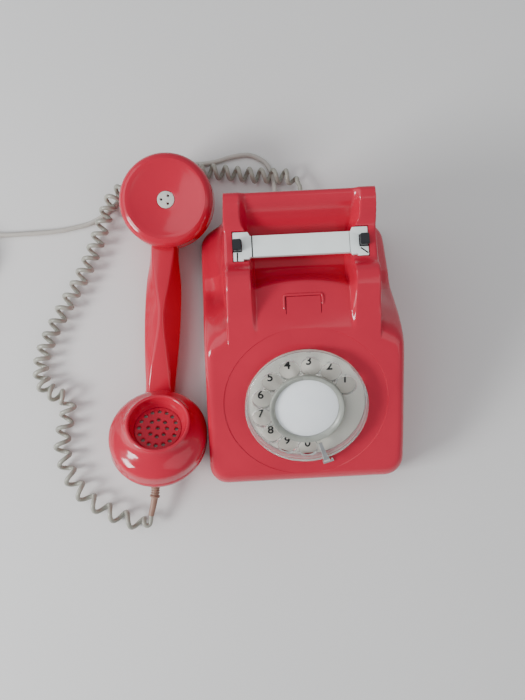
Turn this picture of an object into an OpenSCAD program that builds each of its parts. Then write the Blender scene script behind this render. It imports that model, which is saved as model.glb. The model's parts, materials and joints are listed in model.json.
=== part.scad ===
// Compact rotary desk telephone: case with a sloped dial face, cradle horns, carrying bar,
// handset lying beside it, curly handset cord and line cord.
// The origin is the centre of the footprint, +Y points to the back, +Z up.

/* [Case] */
// Width of the case at its foot
case_w = 128; // [124:1:132]
// Depth of the case at its foot
case_d = 176; // [172:1:180]
// Wall thickness of the case
wall = 3; // [2:0.5:3.5]
// Radius of the upright corners
corner_r = 13; // [10:1:16]
// Gap between the table and the foot of the case
foot_h = 3; // [2:0.5:4]
// Half distance between the outer faces of the horns
horn_x = 43.6; // [42:0.2:45]
// Half distance between the inner faces of the horns
horn_in = 30; // [29:0.5:31]

/* [Dial] */
// Diameter of the finger wheel
wheel_d = 75; // [72:1:76]
// Radius of the circle of finger holes
hole_pcr = 27.5; // [27:0.5:28.5]
// Radius of one finger hole
hole_r = 6; // [5:0.5:6.5]
// Angle of the first finger hole
first_hole = 31; // [29:1:33]
// Angle from one finger hole to the next
hole_step = 26.6; // [26:0.1:27]
// Slope of the dial face
slope = 30; // [28:1:32]
// Teeth on the main gear
gear_teeth = 48; // [48:12:48]
// Teeth on the pinion
pinion_teeth = 12; // [12:12:12]

/* [Handset] */
// Distance between the ear and mouth centres
handset_c = 153; // [150:1:156]
// Outer radius of the ear and mouth caps
cap_r = 31.4; // [30:0.2:32]
// Tilt of the mouthpiece towards the ear
mouth_tilt = 27; // [24:1:30]

/* [Cords] */
// Diameter of the line cord
line_d = 3.4; // [3:0.2:4]
// Outer diameter of the curls of the handset cord
curl_d = 12; // [11:1:13]

/* [Hidden] */
$fn = 64;

side_x = case_w / 2;
front_y = -case_d / 2;
back_y = case_d / 2;
dial_y = -42.5;
dial_z = 61.7;
shelf_z = 84;           // where the ends of the bar rest in the horns
face_w = -6.5;          // case face below the top of the finger wheel
plate_w = -8;           // top of the number plate
shoulder_fall = 21.8;   // slope of the shoulders' floor towards the back
frame_w = face_w - wall - 0.1; // just under the case face, where the dial frame sits
gear_w = -26;
bridge_w = -34;
pinion_v = 30;
governor_u = 17.3;
governor_v = 20;
plunger_x = 37;
plunger_y = 53;
bracket_z = 64;
rocker_y = 66;
rocker_z = 57.5;
gong_x = 24;
gong_y = 22;
bell_y = 51.5;
coil_x = 12;
coil_z = 17;
gong_z = 5;
board_x = 44;
board_y = 59;
cord_exit_z = 9;
line_exit_x = -10;
wire_r = 1.55;          // wire of the handset cord
curl_exit_x = 8;
red = "crimson";

// ---- points and sweeps ----

function arc(cx, cy, r, from, to, n = 6) =
  [for (i = [0:n]) let (a = from + (to - from) * i / n) [cx + r * cos(a), cy + r * sin(a)]];

function bow(cx, cy, rx, ry, from, to, n = 8) =
  [for (i = [0:n]) let (a = from + (to - from) * i / n) [cx + rx * cos(a), cy + ry * sin(a)]];

// closed solid through rings of equal point counts
module loft(rings) {
  n = len(rings[0]);
  m = len(rings);
  sides = [for (j = [0:m - 2], i = [0:n - 1]) each [
    [j * n + i, j * n + (i + 1) % n, (j + 1) * n + (i + 1) % n],
    [j * n + i, (j + 1) * n + (i + 1) % n, (j + 1) * n + i]]];
  first = [[for (i = [n - 1:-1:0]) i]];
  last = [[for (i = [0:n - 1]) (m - 1) * n + i]];
  polyhedron([for (r = rings) each r], concat(first, sides, last));
}

function unit(v) = v / norm(v);

// one ring of a tube around point p with direction d
function tube_ring(p, d, r, n) =
  let (s = unit(cross([0, 0, 1], d)), t = cross(s, d))
  [for (i = [0:n - 1]) p + r * (cos(360 * i / n) * s + sin(360 * i / n) * t)];

function smooth_at(q, i, t) =
  let (a = q[max(i - 1, 0)], b = q[i], c = q[i + 1], d = q[min(i + 2, len(q) - 1)])
  0.5 * ((2 * b) + (c - a) * t + (2 * a - 5 * b + 4 * c - d) * t * t
         + (3 * b - a - 3 * c + d) * t * t * t);

// a smooth line through the route's points, with k steps between neighbours
function smooth(q, k) =
  concat([for (i = [0:len(q) - 2], j = [0:k - 1]) smooth_at(q, i, j / k)], [q[len(q) - 1]]);

// a tube of radius r whose first and last stretches, lead steps long, have radius r_lead
module tube(route, r, k, r_lead = 0, lead = 0, n = 8) {
  p = smooth(route, k);
  m = len(p);
  loft([for (i = [0:m - 1]) let (thin = i < lead || i > m - 1 - lead)
    tube_ring(p[i], unit(p[min(i + 1, m - 1)] - p[max(i - 1, 0)]), thin ? r_lead : r, n)]);
}

module dial_place() translate([0, dial_y, dial_z]) rotate([slope, 0, 0]) children();

module handset_place() translate([-89, 24, 0]) rotate([0, 0, -4.4]) children();

module mouth_place() handset_place() translate([0, -81, 28.5]) rotate([-mouth_tilt, 0, 0]) children();

module boot_place() handset_place() translate([-3, -102, 13.5]) rotate([98, 0, -2]) children();

module ear_place() handset_place() translate([0, handset_c / 2, 0]) children();

module rounded_slab(w, d, r) {
  square([w - 2 * r, d], center = true);
  square([w, d - 2 * r], center = true);
  for (x = [-1, 1], y = [-1, 1]) translate([x * (w / 2 - r), y * (d / 2 - r)]) circle(r);
}

// upright profile (depth, height) drawn across the width from x0 to x1
module across(x0, x1) translate([x0, 0, 0]) rotate([90, 0, 90]) linear_extrude(x1 - x0) children();

// upright profile (width, height) drawn from front y0 to back y1
module along(y0, y1) translate([0, y1, 0]) rotate([90, 0, 0]) linear_extrude(y1 - y0) children();

// ---- case ----

// height of the sloped face above the table at depth y
function face_z(y) = 55.6 + (y + 40) * tan(slope);

// side outline with the horns, moved inwards by t
function horn_outline(t) = concat(
  [[front_y + t, -1]],
  arc(front_y + 7, face_z(front_y + 7) - 7 / cos(slope), 7 - t, 180, 90 + slope),
  [[4, face_z(4) - t / cos(slope)], [11, 81.8 - t], [20, 88 - t], [27, 93.2 - t], [32.5, 95 - t],
   [37, 94 - t], [41, 90 - t], [43.4, 88 - t], [61.8, 88 - t], [65, 90.5 - t], [70, 96 - t],
   [75, 99.4 - t], [79, 100 - t]],
  arc(79.5, 92, 8 - t, 90, 12),
  [[back_y - t, -1]]);

// floor line of the channel between the horns, moved down by t
function channel_line(t) = concat(
  [[4, face_z(4) - t / cos(slope)], [12, 82.4 - t], [22.5, 84 - t]],
  arc(26.5, 79 - t, 5, 90, 30, 3),
  arc(43, 83 - t, 13, 205, 300, 6),
  [[58, 74 - t], [62, 76 - t], [66, 80.5 - t], [70, 86 - t], [73, 91.5 - t], [76, 96 - t],
   [80, 98.6 - t], [84, 98 - t], [90, 96 - t]]);

module channel_cut(half_w, t) across(-half_w, half_w)
  polygon(concat(channel_line(t), [[90, 130], [4, 130]]));

// the rear part of the channel is a little wider than its front
module rear_channel_cut(half_w, t) intersection() {
  channel_cut(half_w, t);
  translate([-60, 62, 0]) cube([120, 40, 130]);
}

// the hollow shoulder beside one horn, where a cap of the handset hangs
module shoulder_side(t, y0) along(y0, 110) polygon(concat(
  [[horn_x - t, 130]], bow(66, 60, 66 - horn_x + t, 33 + t, 180, 270), [[90, 27 - t], [90, 130]]));

module shoulder_cut(t) intersection() {
  union() {
    shoulder_side(t, -10);
    translate([0, 38, 27]) rotate([-shoulder_fall, 0, 0]) translate([0, -38, -27]) shoulder_side(t, 0);
  }
  across(30, 90) polygon(concat(
    [[9 - t, 130]], bow(42, 60, 33 + t, 33 + t, 180, 270),
    [[100, 27 - t - 58 * tan(shoulder_fall)], [100, 130]]));
}

module case_block(t) {
  difference() {
    intersection() {
      linear_extrude(130) rounded_slab(case_w - 2 * t, case_d - 2 * t, corner_r - t);
      along(-100, 100) polygon([[-side_x + t, -1], [side_x - t, -1], [side_x - 7 - t, 110],
        [7 + t - side_x, 110]]);
      dial_place() rotate([90, 0, 0]) translate([0, 0, -150]) linear_extrude(300) {
        translate([-55 + t, -120]) square([110 - 2 * t, 120 + face_w - t]);
        translate([-61 + t, -120]) square([122 - 2 * t, 114 + face_w]);
        translate([-64 + t, -120]) square([128 - 2 * t, 108 + face_w]);
        for (x = [-1, 1]) translate([x * 55, face_w - 6]) circle(6 - t);
        translate([-80, 0]) square([160, 1]);
      }
      across(-80, 80) polygon(horn_outline(t));
    }
    channel_cut(horn_in + t, t);
    rear_channel_cut(34.5 + t, t);
    shoulder_cut(t);
    mirror([1, 0, 0]) shoulder_cut(t);
  }
}

module case() {
  color(red) difference() {
    union() {
      difference() {
        intersection() {
          case_block(0);
          translate([-80, -100, foot_h]) cube([160, 200, 120]);
        }
        case_block(wall);
      }
      for (x = [-1, 1]) translate([x * 36 - 5, 42, shelf_z - 2.5]) cube([10, 21, 2.5]);
    }
    dial_place() translate([0, 0, frame_w - 1]) cylinder(h = 5, r = 36.2);
    dial_place() for (a = [30, 150, 270]) rotate(a)
      translate([39, 0, frame_w]) cylinder(h = 2.1, r = 1.35, $fn = 24);
    for (x = [-1, 1]) {
      translate([x * plunger_x - 2.8, plunger_y - 3.5, 70]) cube([5.6, 7, 30]);
      translate([x * plunger_x, 46.5, 66]) cylinder(h = 30, r = 1.6, $fn = 24);
    }
    translate([-39.8, 43.5, shelf_z]) cube([79.6, 18.2, 10]);
    translate([-7.7, 12.1, 76]) cube([15.4, 8, 12]);
    translate([line_exit_x, back_y - 5, cord_exit_z]) rotate([-90, 0, 0]) cylinder(h = 8, r = 3);
    translate([curl_exit_x, back_y - 5, cord_exit_z]) rotate([-90, 0, 0]) cylinder(h = 8, r = 3);
  }
}

module base_plate() {
  color("dimgray") difference() {
    translate([0, 0, foot_h]) linear_extrude(2)
      rounded_slab(case_w - 2 * wall - 0.8, case_d - 2 * wall - 0.8, corner_r - wall);
    for (x = [-1, 1], y = [-1, 1]) translate([x * 54, y * 62, 0]) cylinder(h = 9, r = 2, $fn = 24);
  }
}

module rubber_feet() {
  color("black") for (x = [-1, 1], y = [-1, 1]) translate([x * 46, y * 72, 0]) {
    cylinder(h = 1, r1 = 6.5, r2 = 7.5);
    translate([0, 0, 1]) cylinder(h = foot_h - 1, r = 7.5);
  }
}

module blanking_plug() {
  color(red) difference() {
    union() {
      translate([-7.4, 12.4, 77]) cube([14.8, 7.4, 6.6]);
      across(-10.4, 10.4) polygon([[15.8, 83.1], [22.5, 84.1], [22.5, 85.3], [15.8, 84.4]]);
    }
    across(-20, 20) polygon([[10, 60], [30, 60], [30, 80.2], [10, 80.2]]);
  }
}

module carrying_bar() {
  color("gainsboro") difference() {
    union() {
      translate([-29.5, 46.4, 84]) cube([59, 12.4, 3.6]);
      for (x = [-1, 1]) translate([x * 34.6 - 5.1, 43.7, 84]) cube([10.2, 17.8, 3.6]);
    }
    for (x = [-1, 1]) {
      translate([x * (plunger_x + 2) - 4.8, plunger_y - 3.5, 80]) cube([9.6, 7, 10]);
      translate([x * plunger_x, 46.5, 80]) cylinder(h = 10, r = 1.6, $fn = 24);
    }
  }
}

module bar_screws() {
  color("silver") for (x = [-1, 1]) translate([x * plunger_x, 46.5, 0]) {
    translate([0, 0, 68]) cylinder(h = 18, r = 1.4, $fn = 24);
    difference() {
      translate([0, 0, 86]) cylinder(h = 1.5, r = 1.5, $fn = 24);
      translate([-0.3, -3, 86.9]) cube([0.6, 6, 2]);
    }
  }
}

// ---- dial ----

module number_plate() {
  color("silver") dial_place() translate([0, 0, frame_w]) difference() {
    cylinder(h = plate_w - frame_w, r = 35, $fn = 96);
    translate([0, 0, -1]) cylinder(h = 5, r = 12);
  }
}

module finger_stop() {
  color("silver") dial_place() rotate(-72) {
    translate([24, -1.7, 1]) cube([15.9, 3.4, 1.2]);
    translate([38.5, -2.4, face_w]) cube([1.4, 4.8, 8.7]);
    translate([38.5, -3.5, face_w]) cube([5, 7, 1]);
  }
}

module dial_frame() {
  color("gray") dial_place() difference() {
    union() {
      translate([0, 0, frame_w - 2]) cylinder(h = 2, r = 42, $fn = 96);
      translate([0, 0, frame_w - 8]) cylinder(h = 8, r = 7);
    }
    translate([0, 0, frame_w - 10]) cylinder(h = 20, r = 3.05);
    translate([0, pinion_v, frame_w - 10]) cylinder(h = 20, r = 1.55);
    translate([governor_u, governor_v, frame_w - 10]) cylinder(h = 20, r = 1.25);
    for (a = [30, 150, 270]) rotate(a) translate([39, 0, -30]) cylinder(h = 40, r = 1.2, $fn = 24);
  }
}

module dial_bridge() {
  color("gray") dial_place() difference() {
    union() {
      translate([0, 0, bridge_w]) linear_extrude(2) {
        circle(12);
        translate([-6, 0]) square([12, 40]);
        for (a = [0, 120, 240]) rotate(a) translate([0, -3]) square([39, 6]);
        translate([0, 14]) square([24, 12]);
        for (a = [0, 120, 240]) rotate(a) translate([39, 0]) circle(3);
      }
      for (a = [0, 120, 240]) rotate(a) translate([39, 0, bridge_w])
        cylinder(h = frame_w - 2 - bridge_w, r = 2.5);
    }
    translate([0, 0, bridge_w - 1]) cylinder(h = 5, r = 3.05);
    translate([0, pinion_v, bridge_w - 1]) cylinder(h = 5, r = 1.55);
    translate([governor_u, governor_v, bridge_w - 1]) cylinder(h = 5, r = 1.25);
  }
}

module dial_screws() {
  color("silver") dial_place() for (a = [30, 150, 270]) rotate(a) translate([39, 0, frame_w]) {
    translate([0, 0, -4]) cylinder(h = 2, r = 2.4);
    translate([0, 0, -2]) cylinder(h = 3.9, r = 1.2, $fn = 24);
  }
}

module pulse_contacts() {
  color("goldenrod") dial_place() {
    translate([-22, 22, frame_w - 10]) cube([6, 8, 8]);
    for (w = [-18, -15.5]) translate([-16, 26, w + 0.5]) cube([7, 4, 0.4]);
  }
}

module finger_wheel() {
  color("lightgray", 0.4) dial_place() difference() {
    union() {
      translate([0, 0, -3]) cylinder(h = 3, r = wheel_d / 2, $fn = 96);
      translate([0, 0, face_w]) cylinder(h = 4, r = 9);
    }
    for (k = [0:9]) rotate(first_hole + k * hole_step)
      translate([hole_pcr, 0, -4]) cylinder(h = 6, r = hole_r, $fn = 48);
    translate([0, 0, -1.5]) cylinder(h = 3, r = 20.9);
    translate([0, 0, -8]) cylinder(h = 8, r = 3);
  }
}

module label_card() {
  color("aliceblue") dial_place() translate([0, 0, -1.5]) cylinder(h = 0.4, r = 20.4);
}

module label_cover() {
  color("white", 0.3) dial_place() translate([0, 0, -1.1]) cylinder(h = 1.3, r = 20.8);
}

module dial_spindle() {
  color("silver") dial_place() translate([0, 0, bridge_w - 1]) cylinder(h = -1.5 - bridge_w + 1, r = 3);
}

module toothed(teeth, h) {
  r = teeth / 2;
  circle(r - 1);
  for (k = [0:teeth - 1]) rotate(360 * k / teeth)
    polygon([[r - 2, -0.8], [r - 1, -0.75], [r + 0.65, -0.35], [r + 0.65, 0.35], [r - 1, 0.75],
      [r - 2, 0.8]]);
}

module main_gear() {
  color("goldenrod") dial_place() translate([0, 0, gear_w]) linear_extrude(2) difference() {
    rotate(90) toothed(gear_teeth);
    circle(3);
  }
}

module pinion_shaft() {
  color("silver") dial_place() translate([0, pinion_v, 0]) {
    translate([0, 0, bridge_w - 0.5]) cylinder(h = frame_w - bridge_w, r = 1.5, $fn = 32);
    translate([0, 0, gear_w - 0.5]) linear_extrude(3) rotate(-90 + 180 / pinion_teeth)
      toothed(pinion_teeth);
  }
}

module pulse_cam() {
  color("ivory") dial_place() translate([0, pinion_v, -20]) linear_extrude(2) difference() {
    union() {
      circle(5);
      for (a = [0, 180]) rotate(a) translate([0, -1.5]) square([6.5, 3]);
    }
    circle(1.5, $fn = 32);
  }
}

module governor_gear() {
  color("goldenrod") dial_place() translate([0, pinion_v, -31]) linear_extrude(1.5) difference() {
    rotate(-30) toothed(30);
    circle(1.5, $fn = 32);
  }
}

module governor_shaft() {
  color("silver") dial_place() translate([governor_u, governor_v, 0]) {
    translate([0, 0, bridge_w - 0.5]) cylinder(h = frame_w - bridge_w, r = 1.2, $fn = 32);
    translate([0, 0, -31.2]) linear_extrude(2) rotate(150 + 18) toothed(10);
  }
}

module governor_weights() {
  color("goldenrod") dial_place() translate([governor_u, governor_v, -22]) difference() {
    union() {
      translate([-8, -1.5, 0]) cube([16, 3, 1.5]);
      for (x = [-1, 1]) translate([x * 6.5, 0, 0]) cylinder(h = 5, r = 2);
    }
    translate([0, 0, -1]) cylinder(h = 4, r = 1.2, $fn = 32);
  }
}

// ---- cradle switch ----

module plunger(side) {
  color("black") translate([side * plunger_x, plunger_y, 0]) {
    translate([0, 0, 76]) linear_extrude(15.4) rounded_slab(5.2, 6.6, 1);
    translate([0, 0, 91.4]) linear_extrude(0.6) rounded_slab(4.4, 5.8, 0.8);
    translate([0, 0, 61]) cylinder(h = 15, r = 1.9);
    translate([0, 0, 61]) sphere(1.9);
  }
}

module plunger_left() plunger(-1);

module plunger_right() plunger(1);

module coil_spring(r, wire, bottom, top, turns) {
  steps = 12;
  loft([for (i = [0:turns * steps])
    let (a = 360 * i / steps, z = bottom + wire + (top - bottom - 2 * wire) * i / (turns * steps))
    tube_ring([r * cos(a), r * sin(a), z], unit([-sin(a), cos(a), 0.05]), wire, 6)]);
}

module plunger_springs() {
  color("silver") for (x = [-1, 1]) translate([x * plunger_x, plunger_y, 0])
    coil_spring(2.7, 0.35, bracket_z + 1.5, 76, 5);
}

module switch_bracket() {
  color("lightgray") difference() {
    union() {
      translate([-40.5, 46, bracket_z]) cube([81, 14, 1.5]);
      for (x = [-1, 1]) {
        translate([x * 30 - 0.75, 44, 5]) cube([1.5, 6, bracket_z - 5]);
        translate([x * 27.5 - 4, 44, 5]) cube([8, 6, 1.5]);
        translate([x * 26 - 0.75, 60, bracket_z - 12]) cube([1.5, 10, 13.5]);
        translate([x * plunger_x, 46.5, bracket_z]) cylinder(h = 4, r = 3.2);
      }
      translate([-26.7, 59.5, bracket_z]) cube([53.4, 2, 1.5]);
      translate([-12, 60, bracket_z]) cube([24, 16, 1.5]);
      translate([-31, 44, bracket_z]) cube([62, 3, 1.5]);
    }
    for (x = [-1, 1]) {
      translate([x * plunger_x, plunger_y, 0]) cylinder(h = 90, r = 2.2);
      translate([x * plunger_x, 46.5, 60]) cylinder(h = 20, r = 1.4, $fn = 24);
      translate([x * 26 - 2, rocker_y, rocker_z]) rotate([0, 90, 0]) cylinder(h = 4, r = 1.55, $fn = 32);
    }
  }
}

module switch_rocker() {
  color("ivory") {
    translate([-28, rocker_y, rocker_z]) rotate([0, 90, 0]) cylinder(h = 56, r = 1.5, $fn = 32);
    translate([-39, 51, rocker_z]) cube([78, 8, 1.2]);
    for (x = [-1, 1]) translate([x * 18 - 3, 51, rocker_z]) cube([6, 15, 1.2]);
  }
}

module switch_contacts() {
  color("peru") {
    translate([-12, 70, bracket_z - 18]) cube([24, 6, 18]);
    for (x = [-8:4:8]) translate([x - 1, 55, bracket_z - 14.5]) cube([2, 16, 0.5]);
  }
}

// ---- bell ----

module bell_bracket() {
  color("lightgray") {
    translate([-34, 16, 5]) cube([68, 12, 1.5]);
    translate([-7, 28, 5]) cube([14, 50, 1.5]);
    for (x = [-1, 1]) translate([x * gong_x, gong_y, 6]) cylinder(h = 15.5 + gong_z, r = 2.5);
    translate([-4, 74, 6]) cube([8, 3, coil_z - 10]);
    translate([0, bell_y, 6]) cylinder(h = coil_z - 9.2, r = 3);
    translate([0, bell_y, 6]) cylinder(h = coil_z - 2, r = 1.5, $fn = 32);
  }
}

module gong() {
  rotate_extrude() polygon([[0, 21.5], [2.6, 21.5], [6, 21], [12, 18.6], [16.4, 13], [17, 8.5],
    [18, 8.5], [17.4, 13.6], [12.8, 20], [6.3, 22.6], [0, 23]]);
}

module gong_left() {
  color("silver") translate([-gong_x, gong_y, gong_z]) difference() {
    gong();
    cylinder(h = 40, r = 1.2, $fn = 24);
  }
}

module gong_right() {
  color("silver") translate([gong_x, gong_y, gong_z]) difference() {
    gong();
    cylinder(h = 40, r = 1.2, $fn = 24);
  }
}

module gong_screws() {
  color("gray") for (x = [-1, 1]) translate([x * gong_x, gong_y, gong_z]) {
    translate([0, 0, 21.5]) cylinder(h = 1.5, r = 1.2, $fn = 24);
    translate([0, 0, 23]) cylinder(h = 1.8, r = 3);
  }
}

module bell_core() {
  color("gray") {
    translate([-16, 74, coil_z - 4]) cube([32, 3, 8]);
    for (x = [-1, 1]) translate([x * coil_x, 55.5, coil_z]) rotate([-90, 0, 0])
      cylinder(h = 18.5, r = 3);
  }
}

module bell_coils() {
  color("sienna") for (x = [-1, 1]) translate([x * coil_x, 57, coil_z]) rotate([-90, 0, 0])
    difference() {
      union() {
        cylinder(h = 16, r = 7.5);
        cylinder(h = 1, r = 8.5);
        translate([0, 0, 15]) cylinder(h = 1, r = 8.5);
      }
      translate([0, 0, -1]) cylinder(h = 20, r = 3);
    }
}

module bell_place() translate([0, bell_y, 0]) rotate(-5.5) children();

module bell_armature() {
  color("gray") bell_place() difference() {
    union() {
      translate([-17, -1, coil_z - 3]) cube([34, 2, 6]);
      translate([0, 0, coil_z - 3]) cylinder(h = 6, r = 3);
    }
    cylinder(h = 40, r = 1.55, $fn = 32);
  }
}

module bell_clapper() {
  color("silver") bell_place() {
    translate([0, -3, coil_z]) rotate([90, 0, 0]) cylinder(h = 24, r = 0.9, $fn = 24);
    translate([0, -28, coil_z]) sphere(2.8);
  }
}

// ---- circuit and terminals ----

module circuit_board() {
  color("darkgreen") translate([board_x - 11, board_y - 17, 9]) difference() {
    cube([22, 34, 1.6]);
    for (x = [2.5, 19.5], y = [2.5, 31.5]) translate([x, y, -1]) cylinder(h = 4, r = 1.2, $fn = 24);
  }
}

module board_standoffs() {
  color("silver") for (x = [-8.5, 8.5], y = [-14.5, 14.5])
    translate([board_x + x, board_y + y, 5]) {
      cylinder(h = 4, r = 2.2);
      translate([0, 0, 4]) cylinder(h = 2.4, r = 1.2, $fn = 24);
    }
}

module induction_coil() {
  color("tan") translate([board_x - 6, board_y - 11, 10.6]) {
    cube([12, 10, 2]);
    translate([0, 1.5, 2]) cube([12, 7, 6]);
    translate([0, 0, 8]) cube([12, 10, 1]);
  }
}

module capacitor() {
  color("gold") translate([board_x, board_y + 7, 10.6]) linear_extrude(8) rounded_slab(13, 7, 2);
}

module terminal_block() {
  color("ivory") difference() {
    translate([-55, 45, 5]) cube([18, 26, 8]);
    for (x = [-51, -41], y = [49:6:67]) translate([x, y, 8]) cylinder(h = 6, r = 1.2, $fn = 24);
  }
}

module terminal_screws() {
  color("goldenrod") for (x = [-51, -41], y = [49:6:67]) translate([x, y, 8]) {
    cylinder(h = 5, r = 1.2, $fn = 24);
    translate([0, 0, 5]) cylinder(h = 1.2, r = 2.2);
  }
}

module cord_clamp() {
  color("lightgray") difference() {
    translate([-18, 79.5, 5]) cube([34, 3, 9]);
    for (x = [line_exit_x, curl_exit_x]) translate([x, 70, cord_exit_z]) rotate([-90, 0, 0])
      cylinder(h = 20, r = 2);
  }
}

// ---- cord ends on the case ----

module boot(r_in, r_out) rotate([-90, 0, 0]) difference() {
  union() {
    cylinder(h = 5.5, r = 2.9);
    translate([0, 0, 5.5]) cylinder(h = 2, r = 4.4);
    translate([0, 0, 7.5]) cylinder(h = 20, r1 = 3.8, r2 = r_out);
  }
  translate([0, 0, -1]) cylinder(h = 40, r = r_in);
}

module line_boot() {
  color("gray") translate([line_exit_x, back_y - 5.5, cord_exit_z]) boot(line_d / 2, 2.4);
}

module handset_cord_boot() {
  color("gray") translate([curl_exit_x, back_y - 5.5, cord_exit_z]) boot(wire_r, 2.3);
}

// ---- handset ----

// half width, half width of the top flat, top, shoulder and bottom heights along the grip
grip_stations = [
  [-64, 13, 10, 12, 8, 3], [-50, 8.5, 6, 14.5, 10, 3], [-34, 9.5, 3, 18, 12, 3],
  [-12, 11.4, 1, 22.5, 14, 3], [10, 12.2, 1, 25, 15, 3], [28, 11.6, 2.4, 25.8, 16, 3],
  [44, 11, 5, 26, 17, 3], [62, 14, 9, 26, 18, 4]];

function grip_ring(s) = [for (p = [[-s[2], s[3]], [s[2], s[3]], [s[1], s[4]],
  [s[1] * 0.85, s[5] + 3], [s[1] * 0.5, s[5]], [-s[1] * 0.5, s[5]], [-s[1] * 0.85, s[5] + 3],
  [-s[1], s[4]]]) [p[0], s[0], p[1]]];

function bowl_points(h) = [[0, 0], [9, 0.4], [17, 3], [24, 8.5], [29, 16], [cap_r, h - 4],
  [cap_r, h], [cap_r - 2.8, h], [cap_r - 3, h - 4], [26, 17], [21, 10.6], [14, 6], [0, 4]];

module handset_handle() {
  color(red) difference() {
    union() {
      difference() {
        handset_place() loft([for (i = [len(grip_stations) - 1:-1:0]) grip_ring(grip_stations[i])]);
        ear_place() translate([0, 0, 4]) cylinder(h = 40, r = 26);
        mouth_place() translate([0, 0, -21]) cylinder(h = 60, r = 24);
      }
      ear_place() translate([0, 0, 0.4]) rotate_extrude($fn = 72) polygon(bowl_points(26));
      mouth_place() translate([0, 0, -24.4]) rotate_extrude($fn = 72) polygon(bowl_points(26));
    }
    boot_place() cylinder(h = 30, r = 2.6, $fn = 32);
  }
}

module earpiece_cap() {
  color(red) ear_place() difference() {
    rotate_extrude($fn = 72) polygon(concat([[cap_r - 3, 26.4], [cap_r, 26.4]],
      arc(cap_r - 6, 34.4, 6, 0, 78), [[22, 39.6], [12, 37.2], [5.9, 36.4], [5.9, 35.4],
      [0, 35.4], [0, 32.4], [20, 34], [cap_r - 6, 36], [cap_r - 3, 33]]));
    for (a = [60, 180, 300]) rotate(a) translate([3, 0, 30]) cylinder(h = 9, r = 0.8, $fn = 24);
  }
}

module ear_insert() {
  color("white") ear_place() difference() {
    translate([0, 0, 35.4]) cylinder(h = 1.4, r = 5.75);
    for (a = [60, 180, 300]) rotate(a) translate([3, 0, 30]) cylinder(h = 9, r = 0.8, $fn = 24);
  }
}

module receiver_capsule() {
  color("gray") ear_place() {
    translate([0, 0, 14]) cylinder(h = 12, r = 22);
    translate([0, 0, 26]) cylinder(h = 4, r = 25);
  }
}

module mouthpiece_cap() {
  color(red) mouth_place() rotate_extrude($fn = 72) polygon(concat(
    [[cap_r - 3, 1.6], [cap_r, 1.6]], arc(cap_r - 6, 8.6, 6, 0, 50, 4),
    [[25.5, 15.5], [23, 20], [21.6, 24.4]], arc(20.2, 24.6, 1.4, 0, 180, 4),
    [[17.6, 20.4], [14.9, 17], [14.9, 15], [21, 14], [25.5, 9.5], [cap_r - 3, 7]]));
}

function ring_of(n, r) = [for (i = [0:n - 1]) [r * cos(360 * i / n), r * sin(360 * i / n)]];

module mouth_grille() {
  color(red) mouth_place() difference() {
    translate([0, 0, 15]) cylinder(h = 2, r = 14.8);
    for (p = concat([[0, 0]], ring_of(8, 5.9), ring_of(16, 11.8)))
      translate([p[0], p[1], 12]) cylinder(h = 9, r = 1.3, $fn = 16);
  }
}

module transmitter_capsule() {
  color("gray") mouth_place() {
    translate([0, 0, -8]) cylinder(h = 9, r = 22);
    translate([0, 0, 1]) cylinder(h = 9, r = 14);
  }
}

module handset_boot() {
  color("rosybrown") boot_place() difference() {
    union() {
      cylinder(h = 13, r = 2.6, $fn = 32);
      translate([0, 0, 11.5]) cylinder(h = 2.5, r = 3.4, $fn = 32);
      translate([0, 0, 14]) cylinder(h = 12.5, r1 = 3, r2 = 2.1, $fn = 32);
    }
    translate([0, 0, 14]) cylinder(h = 20, r = wire_r, $fn = 32);
  }
}

// ---- cords ----

// middle of the curls, from the case round the handset to its mouth end
curl_route = [[8, 110, 9], [8, 116, 8.5], [5, 122, 7], [-2, 125, 6], [-12, 126, 6], [-24, 127, 6], [-38, 129, 6],
  [-52, 131, 6], [-68, 132, 6], [-84, 131, 6], [-100, 128, 7.5], [-114, 122, 9.6], [-124, 114, 9.6],
  [-129, 104, 9.6], [-133, 94, 8], [-137, 84, 6.5], [-142, 72, 6], [-149, 58, 6], [-156, 46, 6],
  [-163, 34, 6], [-170, 21, 6], [-175, 9, 6], [-178, -3, 6], [-176, -15, 6], [-169, -22, 6],
  [-161, -26, 6], [-160, -36, 6], [-163, -48, 6], [-164, -60, 6], [-161, -73, 6], [-155, -85, 6],
  [-146, -95, 6], [-134, -103, 6], [-123, -108, 6], [-114, -111.5, 6],
  [-108, -113.5, 6.5], [-104.5, -113, 7.5], [-103.4, -109, 8.4]];

// line cord from its boot to the coil
line_route = [[-10, 110, 9], [-10, 118, 6], [-11, 128, 2.4], [-16, 138, 1.7], [-27, 144, 1.7],
  [-40, 143, 1.7], [-52, 140, 1.7], [-66, 139, 1.7], [-84, 141, 1.7], [-100, 138, 1.7],
  [-113, 127, 1.7], [-126, 110, 1.7], [-140, 100, 1.7], [-155, 96, 1.7], [-170, 94, 1.7],
  [-188, 93.5, 1.7], [-206, 93.5, 1.7], [-224, 95, 2], [-238, 95.4, 2.3]];
// line cord from the coil to the plug
tail_route = [[-264, 68, 12], [-264, 60, 10.5], [-262.5, 52, 8.8], [-262, 48, 8.5]];

coil_c = [-242, 73.5];
coil_r = 18.5;

module handset_cord() {
  color("gray") tube(curl_route, curl_d / 2, 2, wire_r, 5);
}

module line_cord() {
  color("lightgray") {
    tube(line_route, line_d / 2, 4);
    tube(tail_route, line_d / 2, 4);
  }
}

module line_cord_coil() {
  color("lightgray") translate([coil_c[0], coil_c[1], 0]) rotate_extrude()
    translate([coil_r, 7.6]) rounded_slab(11, 14.2, 4);
}

module cord_tie() {
  color("dimgray") translate([coil_c[0] - coil_r, coil_c[1], 7.6]) rotate([90, 0, 0])
    translate([0, 0, -3]) linear_extrude(6) difference() {
      square([12.8, 15.2], center = true);
      square([11.4, 14.6], center = true);
    }
}

plug_at = [-262, 34, 8.5];

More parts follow.
